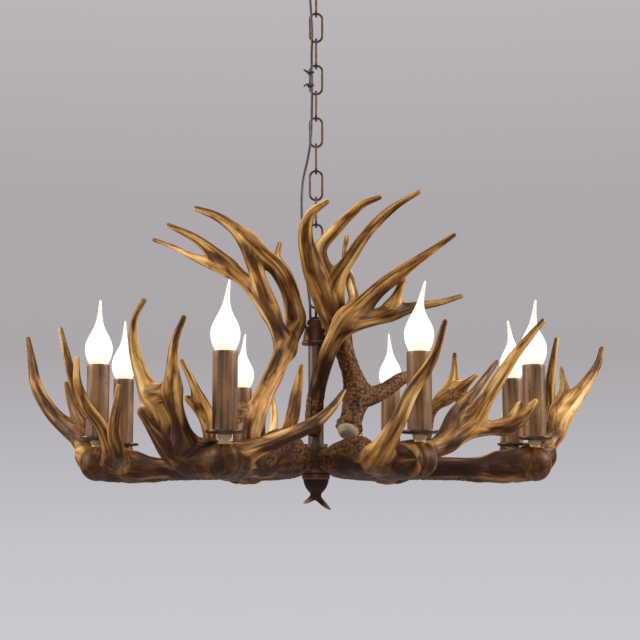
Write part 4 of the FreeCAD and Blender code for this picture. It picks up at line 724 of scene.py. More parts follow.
class Graph:
    """A material's nodes."""

    def __init__(self, name: str) -> None:
        """Starts a material with one Principled surface."""
        self.material = bpy.data.materials.new(name)
        self.material.use_nodes = True
        self.tree = self.material.node_tree
        self.surface = self.tree.nodes["Principled BSDF"]

    def _feed(self, socket: bpy.types.NodeSocket, value: object) -> None:
        """Links a wire to a socket or sets the socket to a value."""
        if isinstance(value, Wire):
            self.tree.links.new(value.socket, socket)
        elif isinstance(value, tuple) and socket.type == "RGBA":
            socket.default_value = (*value, 1.0)
        else:
            socket.default_value = value

    def node(self, kind: str, settings: dict[str, object], inputs: dict[object, object],
             output: int | str = 0) -> Wire:
        """Adds a node.

        Args:
            kind: the node's type.
            settings: its properties, set first; "stops" holds a ramp's (place, colour).
            inputs: values or wires by the input's name or number.
            output: which output is returned.

        Returns:
            The wire of that output.
        """
        made = self.tree.nodes.new(kind)
        for key, value in settings.items():
            if key == "stops":
                set_stops(made.color_ramp, value)
            else:
                setattr(made, key, value)
        for key, value in inputs.items():
            self._feed(made.inputs[key], value)
        return Wire(self, made.outputs[output])

    def place(self) -> Wire:
        """The point in the object's own coordinates, in metres."""
        return self.node("ShaderNodeTexCoord", {}, {}, "Object")

    def attribute(self, name: str, output: str = "Vector") -> Wire:
        """An attribute of the mesh."""
        return self.node("ShaderNodeAttribute", {"attribute_name": name}, {}, output)

    def parts(self, vector: Wire) -> tuple[Wire, Wire, Wire]:
        """The three parts of a vector."""
        outputs = self.node("ShaderNodeSeparateXYZ", {}, {0: vector}).socket.node.outputs
        return Wire(self, outputs[0]), Wire(self, outputs[1]), Wire(self, outputs[2])

    def noise(self, vector: Wire, scale: float | tuple[float, float, float], detail: float = 3.0,
              roughness: float = 0.55, distortion: float = 0.0) -> Wire:
        """Noise from 0 to 1.

        Args:
            vector: the place.
            scale: grains in a metre, one number or one for each direction.
            detail: octaves.
            roughness: how strong the finer octaves are.
            distortion: how far the pattern is stirred.

        Returns:
            The noise's wire.
        """
        if isinstance(scale, tuple):
            vector = self.node("ShaderNodeVectorMath", {"operation": "MULTIPLY"}, {0: vector, 1: scale})
            scale = 1.0
        return self.node("ShaderNodeTexNoise", {}, {"Vector": vector, "Scale": scale, "Detail": detail,
                                                    "Roughness": roughness, "Distortion": distortion})

    def cells(self, vector: Wire, scale: float) -> Wire:
        """Distance to the nearest scattered point."""
        return self.node("ShaderNodeTexVoronoi", {}, {"Vector": vector, "Scale": scale}, "Distance")

    def mix(self, factor: Wire | float, first: Wire | Colour, second: Wire | Colour) -> Wire:
        """A colour between two."""
        return self.node("ShaderNodeMix", {"data_type": "RGBA"}, {0: factor, 6: first, 7: second}, 2)

    def ramp(self, factor: Wire, stops: list[tuple[float, Colour]]) -> Wire:
        """A colour looked up on a ramp."""
        return self.node("ShaderNodeValToRGB", {"stops": stops}, {0: factor})

    def bump(self, height: Wire, distance: float, strength: float) -> Wire:
        """A normal roughened by a height."""
        return self.node("ShaderNodeBump", {}, {"Height": height, "Distance": distance, "Strength": strength})

    def finish(self, **inputs: object) -> bpy.types.Material:
        """Feeds the surface's sockets, named with underscores for spaces.

        Args:
            **inputs: wires or values by the socket's name.

        Returns:
            The material.
        """
        for key, value in inputs.items():
            self._feed(self.surface.inputs[key.replace("_", " ")], value)
        return self.material


def set_stops(ramp: bpy.types.ColorRamp, stops: list[tuple[float, Colour]]) -> None:
    """Gives a colour ramp its stops."""
    while len(ramp.elements) < len(stops):
        ramp.elements.new(1.0)
    for element, (place, colour) in zip(ramp.elements, stops):
        element.position = place
        element.color = (*colour, 1.0)


# -------------------------------------------------------------------------------- finishes
@dataclass(frozen=True)
class AntlerFinish:
    """Semi-gloss cast resin painted as antler: umber grooves, golden ridges, and painted shade darkening the
    lamp's middle and its undersides.

    A "share" says how strongly a pattern moves the tone, which runs from 0, in a groove,
    to 1, on a pale ridge. Heights are above the eye-level plane, in millimetres.
    """

    groove: Colour = (0.030, 0.011, 0.003)
    umber: Colour = (0.108, 0.042, 0.009)
    flank: Colour = (0.30, 0.145, 0.034)
    ridge: Colour = (0.54, 0.315, 0.098)
    pale: Colour = (0.70, 0.50, 0.27)
    tone_stops: tuple[float, ...] = (0.0, 0.22, 0.45, 0.70, 1.0)
    # the red-brown colour of the painted shade, from its dark to its light end
    red_shade_dark: Colour = (0.018, 0.005, 0.001)
    red_shade_light: Colour = (0.42, 0.190, 0.060)
    burr_low: Colour = (0.020, 0.007, 0.003)
    burr_top: Colour = (0.20, 0.084, 0.028)
    sawn: Colour = (0.36, 0.31, 0.23)
    sawn_speck: Colour = (0.25, 0.19, 0.12)
    streak_grain: tuple[float, float, float] = (150.0, 150.0, 9.0)
    hair_grain: tuple[float, float, float] = (620.0, 620.0, 40.0)
    cloud_grain: float = 14.0
    speck_grain: float = 420.0
    mottle_grain: float = 75.0
    bead_grain: float = 330.0
    streak_share: float = 0.75
    hair_share: float = 0.6
    drawn_relief: float = 0.90
    drawn_shift: float = -0.06
    mottle_share: float = 0.9
    worn_relief: float = 0.45
    worn_shift: float = 0.12
    cloud_share: float = 0.9
    tip_rise: float = 0.36
    # painted shade: how far the tone falls in the lamp's middle and low down on the undersides
    middle_shade_fall: float = 0.24
    underside_shade_fall: float = 0.33
    tone_shift: float = 0.14
    # where the painted shade lies low down and in the middle, and where the seats are worn: (edge, fade) in
    # millimetres
    underside_shade_height: tuple[float, float] = (125.0, 75.0)
    middle_shade_height: tuple[float, float] = (310.0, 140.0)
    middle_shade_reach: tuple[float, float] = (230.0, 100.0)
    seat_height: tuple[float, float] = (68.0, 8.0)
    seat_reach: tuple[float, float] = (26.0, 12.0)
    # painted shade: how much of the red-brown shade colour goes into the middle and the undersides
    middle_red_shade: float = 0.45
    underside_red_shade: float = 0.15
    pale_least: float = 0.3
    pale_relief: float = 0.5
    burr_cover: float = 0.92
    burr_gaps: float = 0.35
    bump_depth: float = 0.0012
    bump_strength: float = 0.9
    roughness: float = 0.32
    gloss: float = 0.15

    @staticmethod
    def _within(value: Wire, edge: float, fade: float) -> Wire:
        """1 well under an edge in millimetres, falling to 0 at it over a fade."""
        return ((edge * MM - value) / (fade * MM)).held()

    def _masks(self, place: Wire) -> tuple[Wire, Wire, Wire]:
        """Where painted shade darkens the skin, and where the skin is worn.

        Args:
            place: the point in the lamp's frame.

        Returns:
            Masks of the painted shade low down on the antlers' undersides and in the lamp's middle, and of
            the worn candles' seats.
        """
        x, y, z = place.graph.parts(place)
        height = z - LEVEL * MM
        reach = (x * x + y * y) ** 0.5
        off = reach - CANDLE_CIRCLE * MM
        # painted shade: darker low down, under the limbs
        low = self._within(height, *self.underside_shade_height)
        # painted shade: darker in the lamp's middle, near the column
        middle_shade = self._within(reach, *self.middle_shade_reach) * self._within(height, *self.middle_shade_height)
        seat = self._within((off * off) ** 0.5, *self.seat_reach) * self._within(height, *self.seat_height)
        return low, middle_shade, seat

    def material(self) -> bpy.types.Material:
        """Builds the finish.

        Returns:
            The material; it reads the mesh's "grain" place along the limb and its "skin"
            values relief, tip and burr, with the sawn mask as alpha.
        """
        graph = Graph("antler_resin")
        grain, place = graph.attribute("grain"), graph.place()
        relief, tip, burr = graph.parts(graph.attribute("skin"))
        sawn = graph.attribute("skin", "Alpha")
        low, middle_shade, seat = self._masks(place)
        streak = graph.noise(grain, self.streak_grain, 4.0, 0.6, 0.35)
        hair = graph.noise(grain, self.hair_grain, 3.0, 0.6)
        cloud = graph.noise(grain, self.cloud_grain, 3.0, 0.5)
        speck = graph.noise(grain, self.speck_grain, 2.0, 0.6)
        mottle = graph.noise(place, self.mottle_grain, 4.0, 0.6)
        bead = graph.cells(grain, self.bead_grain)

        drawn = (streak.about(self.streak_share) + hair.about(self.hair_share) + relief * self.drawn_relief
                 + self.drawn_shift)
        worn = mottle.about(self.mottle_share) + relief * self.worn_relief + self.worn_shift
        # painted shade: the tone falls in the lamp's middle and low down on the undersides
        tone = (drawn * (1.0 - seat) + worn * seat + cloud.about(self.cloud_share) + tip * self.tip_rise
                - middle_shade * self.middle_shade_fall - low * self.underside_shade_fall + self.tone_shift).held()
        colours = (self.groove, self.umber, self.flank, self.ridge, self.pale)
        skin = graph.ramp(tone, list(zip(self.tone_stops, colours)))
        # painted shade: a red-brown tone mixed in over the lamp's middle and the undersides
        rust_and_red_shade = graph.mix(tone, self.red_shade_dark, self.red_shade_light)
        skin = graph.mix((middle_shade * self.middle_red_shade + low * self.underside_red_shade).held(), skin, rust_and_red_shade)
        tip_mask = (tip * (0.8 + cloud.about(0.6))).held()
        skin = graph.mix(tip_mask * (self.pale_least + relief * self.pale_relief), skin, self.pale)
        burr_tone = (relief - bead * self.burr_gaps + streak.about(1.0) + mottle.about(0.8)).held()
        skin = graph.mix(burr * self.burr_cover, skin, graph.mix(burr_tone, self.burr_low, self.burr_top))
        skin = graph.mix(sawn, skin, graph.mix(speck, self.sawn, self.sawn_speck))
        dull = self.roughness + (1.0 - tone) * 0.2 + burr * 0.08 + sawn * 0.2
        grooves = (streak * 0.8 + hair * 0.5) * (1.0 - seat * 0.6)
        height = grooves + mottle * seat + speck * 0.12 - bead * burr * 0.9
        return graph.finish(Base_Color=skin, Roughness=dull, Specular_IOR_Level=self.gloss,
                            Normal=graph.bump(height, self.bump_depth, self.bump_strength))


@dataclass(frozen=True)
class MetalPaint:
    """Satin paint on metal, worn to a warmer tone in clouded patches."""

    name: str
    body: Colour
    worn: Colour
    metallic: float
    roughness: float
    cloud_grain: float = 70.0
    peel_grain: float = 900.0
    peel_depth: float = 0.00025

    def material(self) -> bpy.types.Material:
        """Builds the paint with clouded wear and a light orange-peel."""
        graph = Graph(self.name)
        place = graph.place()
        cloud = graph.noise(place, self.cloud_grain, 5.0, 0.65)
        peel = graph.noise(place, self.peel_grain, 3.0, 0.6)
        wear = (cloud * 1.3 + peel * 0.5 - 0.62).held()
        return graph.finish(Base_Color=graph.mix(wear, self.body, self.worn), Metallic=self.metallic,
                            Roughness=self.roughness + cloud.about(0.3),
                            Normal=graph.bump(peel * 0.5 + cloud * 0.5, self.peel_depth, 0.6))


@dataclass(frozen=True)
class SleeveFinish:
    """Tan-brown candle sleeve with upright streaks, drips and dark specks."""

    light: Colour = (0.29, 0.128, 0.033)
    dark: Colour = (0.032, 0.010, 0.002)
    speck: Colour = (0.018, 0.010, 0.007)
    streak_grain: tuple[float, float, float] = (170.0, 170.0, 7.0)
    cloud_grain: float = 28.0
    speck_grain: tuple[float, float, float] = (330.0, 330.0, 190.0)
    speck_edge: tuple[float, float] = (0.70, 0.735)
    streak_share: float = 2.3
    cloud_share: float = 0.9
    drip_share: float = 0.5
    tone_shift: float = 0.30
    drip_depth: float = 0.0005
    roughness: float = 0.46

    def material(self) -> bpy.types.Material:
        """Builds the finish; it reads the mesh's "drip" height."""
        graph = Graph("sleeve_plastic")
        place = graph.place()
        drip = graph.attribute("drip", "Fac")
        streak = graph.noise(place, self.streak_grain, 4.0, 0.6)
        cloud = graph.noise(place, self.cloud_grain)
        speck = graph.noise(place, self.speck_grain, 1.0, 0.5).between(*self.speck_edge)
        tone = (streak.about(self.streak_share) + cloud.about(self.cloud_share) + drip * self.drip_share
                + self.tone_shift).held()
        colour = graph.mix(speck, graph.mix(tone, self.dark, self.light), self.speck)
        return graph.finish(Base_Color=colour, Roughness=self.roughness + streak.about(0.25),
                            Normal=graph.bump(streak + drip * 0.6, self.drip_depth, 0.6))


@dataclass(frozen=True)
class FlameGlass:
    """Opal glass of a lit flame bulb: white, warmer at its foot and thin tip."""

    foot: float
    tip: float
    glass: Colour = (0.42, 0.40, 0.36)
    brightness: float = 0.82
    roughness: float = 0.22

    def material(self) -> bpy.types.Material:
        """Builds the glow from the height on the bulb."""
        graph = Graph("bulb_glass")
        _, _, height = graph.parts(graph.place())
        share = (height - self.foot * MM) / ((self.tip - self.foot) * MM)
        glow = graph.ramp(share, [
            (0.0, (1.0, 0.80, 0.45)), (0.10, (1.0, 0.95, 0.78)), (0.26, (1.0, 0.99, 0.95)),
            (0.60, (0.98, 0.98, 0.95)), (0.74, (0.92, 0.86, 0.68)), (0.86, (0.66, 0.58, 0.44)),
            (1.0, (0.74, 0.71, 0.66))])
        return graph.finish(Base_Color=self.glass, Roughness=self.roughness, Emission_Color=glow,
                            Emission_Strength=self.brightness)


@dataclass(frozen=True)
class PlainCoat:
    """A smooth moulded or coated surface with slight unevenness."""

    name: str
    body: Colour
    shade: Colour
    roughness: float
    metallic: float = 0.0
    grain: float = 300.0
    grain_depth: float = 0.0002

    def material(self) -> bpy.types.Material:
        """Builds the coat."""
        graph = Graph(self.name)
        place = graph.place()
        cloud = graph.noise(place, self.grain * 0.2)
        fine = graph.noise(place, self.grain, 3.0, 0.6)
        colour = graph.mix((cloud * 0.9 + fine * 0.4 - 0.2).held(), self.body, self.shade)
        return graph.finish(Base_Color=colour, Metallic=self.metallic,
                            Roughness=self.roughness + fine.about(0.2),
                            Normal=graph.bump(fine, self.grain_depth, 0.5))


# --------------------------------------------------------------------------------- antlers
def spoke_place(antler: int, reach: float, swing: float, rise: float) -> tuple[float, float, float]:
    """The place at a reach from the axis, a swing off an antler's spoke and a rise."""
    angle = math.radians(FIRST_SPOKE + antler * SPOKE_STEP + swing)
    return reach * math.cos(angle), reach * math.sin(angle), LEVEL + rise


def candle_spot(antler: int) -> tuple[float, float]:
    """The middle of an antler's candle, seen from above."""
    return spoke_place(antler, CANDLE_CIRCLE, RING_ANTLERS[antler][1], 0)[:2]


@dataclass
class Limb:
    """One limb of an antler: its control points and what covers it."""

    points: list[tuple[float, float, float, float]]
    burr: float = 0.0
    sawn: bool = False
    pitch: float = 3.0
    sides: int = 20
    thinnest: float = 1.2
    dome_turns: tuple[float, ...] = (30.0, 55.0, 75.0)
    run: Array = field(init=False)
    heading: Array = field(init=False)
    normal: Array = field(init=False)
    second: Array = field(init=False)
    along: Array = field(init=False)

    def __post_init__(self) -> None:
        """Works out the rounded run and its frames."""
        self.run = smooth_run(np.array(self.points, float), self.pitch)
        self.run[:, 3] = np.maximum(self.run[:, 3], self.thinnest)
        self.heading, self.normal, self.second = frames_along(self.run[:, :3])
        steps = np.linalg.norm(np.diff(self.run[:, :3], axis=0), axis=1)
        self.along = np.concatenate([[0.0], np.cumsum(steps)])

    def shell(self) -> Shell:
        """The limb as a closed surface with a domed tip and a flat root.

        Formula: the dome's rings lie at r sin t beyond the last point, r cos t wide, t
        the dome's turns.
        """
        turns = np.radians(self.dome_turns)
        radius = self.run[-1, 3]
        dome = np.column_stack([self.run[-1, :3] + np.outer(radius * np.sin(turns), self.heading[-1]),
                                radius * np.cos(turns)])
        return carried_ring(np.vstack([self.run, dome]), self.sides)

    def measured(self, places: Array) -> tuple[Array, Array, Array, Array, Array]:
        """How points lie to the limb.

        Formula: each point's nearest station is the one with the smallest distance less
        radius; the rest are its parts along the station's heading and normals.

        Args:
            places: points in millimetres.

        Returns:
            Distance outside the skin, length along the limb, angle round it, the limb's
            radius there, and how far the point lies before the limb's start.
        """
        nodes = self.run[:, :3]
        squared = (places**2).sum(1)[:, None] - 2 * places @ nodes.T + (nodes**2).sum(1)[None, :]
        gap = np.sqrt(np.maximum(squared, 0)) - self.run[:, 3][None, :]
        at = gap.argmin(axis=1)
        offset = places - nodes[at]
        ahead, across, beside = (
            (offset * axes[at]).sum(1) for axes in (self.heading, self.normal, self.second))
        distance, along = gap[np.arange(len(places)), at], self.along[at] + ahead
        return distance, along, np.arctan2(beside, across), self.run[at, 3], -ahead * (at == 0)


@dataclass
class Antler:
    """An antler: limbs run together into one skin, with grooves and beads.

    A layer of grain is (lattice points round the limb, pitch along it, weight); a channel
    is (width, weight) and runs where its layer crosses its middle.
    """

    name: str
    limbs: list[Limb]
    seed: int
    voxel: float = 1.35
    web: float = 8.5
    web_pulls: tuple[float, ...] = (0.9, 0.9, 0.9, 0.6)
    web_reach: tuple[float, float] = (-3.0, 1.0)
    evenings: int = 2
    evening: float = 0.5
    last_evening: float = 0.4
    layers: tuple[tuple[int, float, float], ...] = ((7, 75.0, 0.9), (15, 42.0, 0.5), (31, 24.0, 0.35))
    channels: tuple[tuple[float, float], ...] = ((0.085, 0.75), (0.10, 0.5))
    channel_weight: float = 0.55
    groove_depth: float = 0.75
    full_groove_radius: float = 12.0
    groove_limits: tuple[float, float] = (0.12, 1.15)
    bead_depth: float = 1.5
    full_bead_radius: float = 11.0
    bead_limits: tuple[float, float] = (0.3, 1.0)
    bead_widths: tuple[tuple[float, int, float], ...] = ((5.2, 0, 0.75), (2.9, 9, 0.25))
    burr_fade: float = 45.0
    crown_middle: float = 7.0
    crown_width: float = 5.0
    crown_height: float = 3.0
    crown_beads: float = 2.0
    crown_burr: float = 0.6
    relief_swing: float = 0.75
    bead_tone: float = 0.45
    bead_floor: float = 0.35
    burr_smooths: float = 0.7
    tip_length: float = 95.0
    tip_radius: float = 2.7
    blend: float = 2.0
    face_depth: float = 0.3
    limb_offset: float = 300.0
    seed_offset: float = 0.37
    antler_seeds: int = 31
    limb_seeds: int = 7

    def build(self) -> bpy.types.Object:
        """Makes the antler's mesh with its "grain" and "skin" attributes.

        Returns:
            The object, not yet dressed or riding.
        """
        rough = mesh_object(f"{self.name}_rough", joined(limb.shell() for limb in self.limbs))
        remesh = rough.modifiers.new("one_skin", "REMESH")
        remesh.mode = "VOXEL"
        remesh.voxel_size = self.voxel * MM
        remesh.use_smooth_shade = True
        skinned = bpy.data.meshes.new_from_object(rough.evaluated_get(bpy.context.evaluated_depsgraph_get()))
        bpy.data.objects.remove(rough)
        skinned.name = self.name
        self._web_forks(skinned)
        self._carve(skinned)
        return link_object(f"{self.name}_skin", skinned)

    def _web_forks(self, mesh: bpy.types.Mesh) -> None:
        """Fills the forks smoothly and evens the skin.

        Formula: the soft distance is -k ln(sum of exp(-d/k)) over the limbs' distances d;
        each vertex moves along its normal towards where it is 0, between passes in which
        each vertex moves part of the way to its neighbours' mean.

        Args:
            mesh: the skin, changed in place.
        """
        places = vertex_places(mesh)
        edges = np.empty(len(mesh.edges) * 2, np.int64)
        mesh.edges.foreach_get("vertices", edges)
        ends = edges.reshape(-1, 2).T.ravel()
        others = edges.reshape(-1, 2)[:, ::-1].T.ravel()
        degree = np.maximum(np.bincount(ends, minlength=len(places)), 1)[:, None]

        def evened(spots: Array, share: float) -> Array:
            """Each vertex moved a share of the way to its neighbours' mean."""
            sums = [np.bincount(ends, spots[others, axis], len(spots)) for axis in range(3)]
            return spots + share * (np.stack(sums, axis=1) / degree - spots)

        for pull in self.web_pulls:
            for _ in range(self.evenings):
                places = evened(places, self.evening)
            store_places(mesh, places)
            distances = np.stack([limb.measured(places)[0] for limb in self.limbs], axis=1)
            soft = -self.web * np.log(np.exp(-distances / self.web).sum(axis=1))
            places = places - vertex_normals(mesh) * np.clip(soft, *self.web_reach)[:, None] * pull
        store_places(mesh, evened(places, self.last_evening))

    def _grooves(self, angle: Array, along: Array, seed: int) -> Array:
        """The height of drawn-out grain with thin channels, about 0."""
        noise = [ring_noise(angle, along, around, pitch, seed + number) - 0.5
                 for number, (around, pitch, _) in enumerate(self.layers)]
        height = sum(layer * weight for layer, (_, _, weight) in zip(noise, self.layers))
        channels = sum(np.exp(-(layer / width) ** 2) * weight
                       for layer, (width, weight) in zip(noise, self.channels))
        return height - channels * self.channel_weight

    def _carve(self, mesh: bpy.types.Mesh) -> None:
        """Cuts grooves, raises beads and stores what the finish reads.

        Formula: the height is a mix over the limbs, weighted by exp(-d/b) with b the
        blend, of drawn-out noise with thin channels where it crosses its middle, and of
        beads in the burr and in the crown round a sawn foot.

        Args:
            mesh: the skin, changed in place.
        """
        places, normals = vertex_places(mesh), vertex_normals(mesh)
        count = len(places)
        weight_sum = np.zeros(count)
        sums = np.zeros((5, count))
        relief, lift, tip, burr, sawn = sums
        grain = np.zeros((count, 3))
        nearest = np.full(count, np.inf)
        bead = sum(beads(places, width, self.seed + step) * share for width, step, share in self.bead_widths)
        for number, limb in enumerate(self.limbs):
            distance, along, angle, radius, before = limb.measured(places)
            height = self._grooves(angle, along, self.seed * self.antler_seeds + number * self.limb_seeds)
            groove = self.groove_depth * np.clip(radius / self.full_groove_radius, *self.groove_limits)
            pearl = self.bead_depth * np.clip(radius / self.full_bead_radius, *self.bead_limits)
            pointed = float(limb.points[-1][3] <= self.tip_radius)
            near_tip = np.clip((along - limb.along[-1]) / self.tip_length + 1, 0, 1) * pointed
            in_burr = np.clip((limb.burr - along) / self.burr_fade, 0, 1) * float(limb.burr > 0)
            in_burr = smooth_step(in_burr)
            crown = np.exp(-((along - self.crown_middle) / self.crown_width) ** 2) * limb.sawn
            face = ((before > self.face_depth) & (along < 1.0)) * float(limb.sawn)
            weight = np.exp(-distance / self.blend)
            weight_sum += weight
            tone = 0.5 + height * self.relief_swing * (1 - in_burr) + in_burr * (bead - self.bead_tone)
            cut = height * groove * (1 - in_burr * self.burr_smooths)
            grown = in_burr * (bead - self.bead_floor) * pearl
            grown = grown + crown * (self.crown_height + self.crown_beads * bead)
            relief += weight * tone
            lift += weight * (1 - face) * (cut + grown)
            tip += weight * near_tip
            burr += weight * np.maximum(in_burr, crown * self.crown_burr)
            sawn += weight * face
            closer = distance < nearest
            nearest = np.minimum(nearest, distance)
            own = round_places(radius, angle, along + self.limb_offset * number)
            grain[closer] = own[closer]
        sums /= weight_sum
        store_places(mesh, places + normals * lift[:, None])
        skin = np.stack([np.clip(relief, 0, 1), tip, burr, np.clip(sawn, 0, 1)], axis=1)
        store(mesh, "grain", Stored.VECTOR, grain * MM + np.array([0.0, 0.0, self.seed * self.seed_offset]))
        store(mesh, "skin", Stored.COLOUR, skin)
        mesh.polygons.foreach_set("use_smooth", [True] * len(mesh.polygons))
        mesh.update()


def ring_limbs(antler: int) -> list[Limb]:
    """The limbs of a ring antler.

    Args:
        antler: its number, from 0.

    Returns:
        The beam with its outer limb, side limbs, seat arm, seat and the fill to the fork.
    """
    sway, seat_swing, tables = RING_ANTLERS[antler]
    burrs = RING_BURR[antler] + [0] * len(tables)
    beam = [(*spoke_place(antler, HUB_REACH + along, 0, rise), radius) for along, rise, radius in BEAM_ROOT]
    for (share, rise, radius), swing in zip(BEAM_RUN, (0, *sway)):
        reach = HUB_REACH + share * (CANDLE_CIRCLE - HUB_REACH)
        beam.append((*spoke_place(antler, reach, swing, rise), radius))
    limbs = []
    for table, burr in zip(tables, burrs):
        points = [(*spoke_place(antler, CANDLE_CIRCLE + out, swing, rise), radius)
                  for out, swing, rise, radius in table]
        limbs.append(Limb(points if limbs else beam + points, burr=burr))
    limbs.append(Limb([(*spoke_place(antler, CANDLE_CIRCLE + out, share * seat_swing, rise), radius)
                       for out, share, rise, radius in SEAT_ARM]))
    x, y = candle_spot(antler)
    limbs.append(Limb([(x, y, LEVEL + rise, radius) for rise, radius in SEAT]))
    fork_out, fork_swing = tables[0][1][:2]
    fork_x, fork_y, _ = spoke_place(antler, CANDLE_CIRCLE + fork_out, fork_swing, 0)
    limbs.append(Limb([(x + share * (fork_x - x), y + share * (fork_y - y), LEVEL + rise, radius)
                       for share, rise, radius in SEAT_FILL]))
    return limbs


def crown_limbs(antler: int) -> list[Limb]:
    """The limbs of a crown antler; one antler's trunk shows its sawn foot."""
    limbs = []
    for table, burr in zip(CROWN_ANTLERS[antler], CROWN_BURR[antler]):
        points = [(x, y, LEVEL + rise, radius) for x, y, rise, radius in table]
        sawn = antler == SAWN_CROWN and not limbs
        if sawn:
            points[0] = (*SAWN_FOOT, points[0][3])
        limbs.append(Limb(points, burr=burr, sawn=sawn))
    return limbs


def finial_limbs() -> list[Limb]:
    """The finial as antler: a drop under the hub and two crossed tips."""
    top = LEVEL + 38.0
    foot = top - 29.0
    drop = [(0, 0, top - 9.0, 18.6), (0, 0, top - 13.0, 17.2), (0, 0, top - 20.0, 12.4),
            (0, 0, top - 27.0, 8.0), (0, 0, top - 31.0, 6.4)]
    left = [(3, -1.5, foot + 8, 5.2), (1, -1.5, foot - 1, 5.0), (-6, -1.5, foot - 7.5, 4.2),
            (-12.8, -2, foot - 12.3, 3.0), (-17, -2, foot - 14.5, 1.5)]
    right = [(-3, 1.5, foot + 8, 5.2), (-1, 1.5, foot - 1, 5.0), (7.4, 1.5, foot - 12, 4.2),
             (15.8, 2, foot - 19.7, 3.0), (20.6, 2, foot - 23.4, 1.5)]
    return [Limb(points, pitch=1.5) for points in (drop, left, right)]


# ------------------------------------------------------------------------ candles and metal
class Looks:
    """Every finish of the lamp, each made once."""

    def __init__(self) -> None:
        """Makes the materials."""
        self.bronze = MetalPaint(
            "bronze_paint", (0.040, 0.020, 0.014), (0.16, 0.075, 0.045), 0.6, 0.4).material()
        self.rust_and_red_shade = MetalPaint(
            "rust_paint", (0.062, 0.017, 0.005), (0.175, 0.054, 0.016), 0.3, 0.4).material()
        self.brown = MetalPaint(
            "brown_paint", (0.045, 0.022, 0.013), (0.13, 0.066, 0.038), 0.3, 0.42).material()
        self.pan = MetalPaint(
            "dark_pan", (0.030, 0.014, 0.009), (0.13, 0.060, 0.030), 0.4, 0.33).material()
        self.zinc = PlainCoat(
            "zinc_steel", (0.50, 0.50, 0.48), (0.36, 0.36, 0.35), 0.34, 1.0, 500.0).material()
        self.tan = PlainCoat(
            "tan_resin", (0.50, 0.36, 0.21), (0.30, 0.19, 0.10), 0.42, grain=420.0).material()
        self.ivory = PlainCoat(
            "holder_plastic", (0.62, 0.59, 0.52), (0.52, 0.49, 0.43), 0.5).material()
        self.tie = PlainCoat(
            "tie_black", (0.014, 0.013, 0.013), (0.03, 0.028, 0.027), 0.4).material()
        self.resin = AntlerFinish().material()
        self.sleeve = SleeveFinish().material()
        self.glow = FlameGlass(LEVEL + 181.0, LEVEL + 277.5).material()


def place_piece(obj: bpy.types.Object, material: bpy.types.Material, body: Body, *nodes: str) -> None:
    """Dresses a piece, lets it ride and says which nodes it stands for.

    Args:
        obj: the finished piece.
        material: its finish.
        body: the body that it rides on.
        nodes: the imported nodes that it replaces.
    """
    obj.data.materials.append(material)
    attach(obj, body.value)
    if nodes:
        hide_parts(*nodes)
    log.info("%s: %s", obj.name, ", ".join(nodes) or "no node")


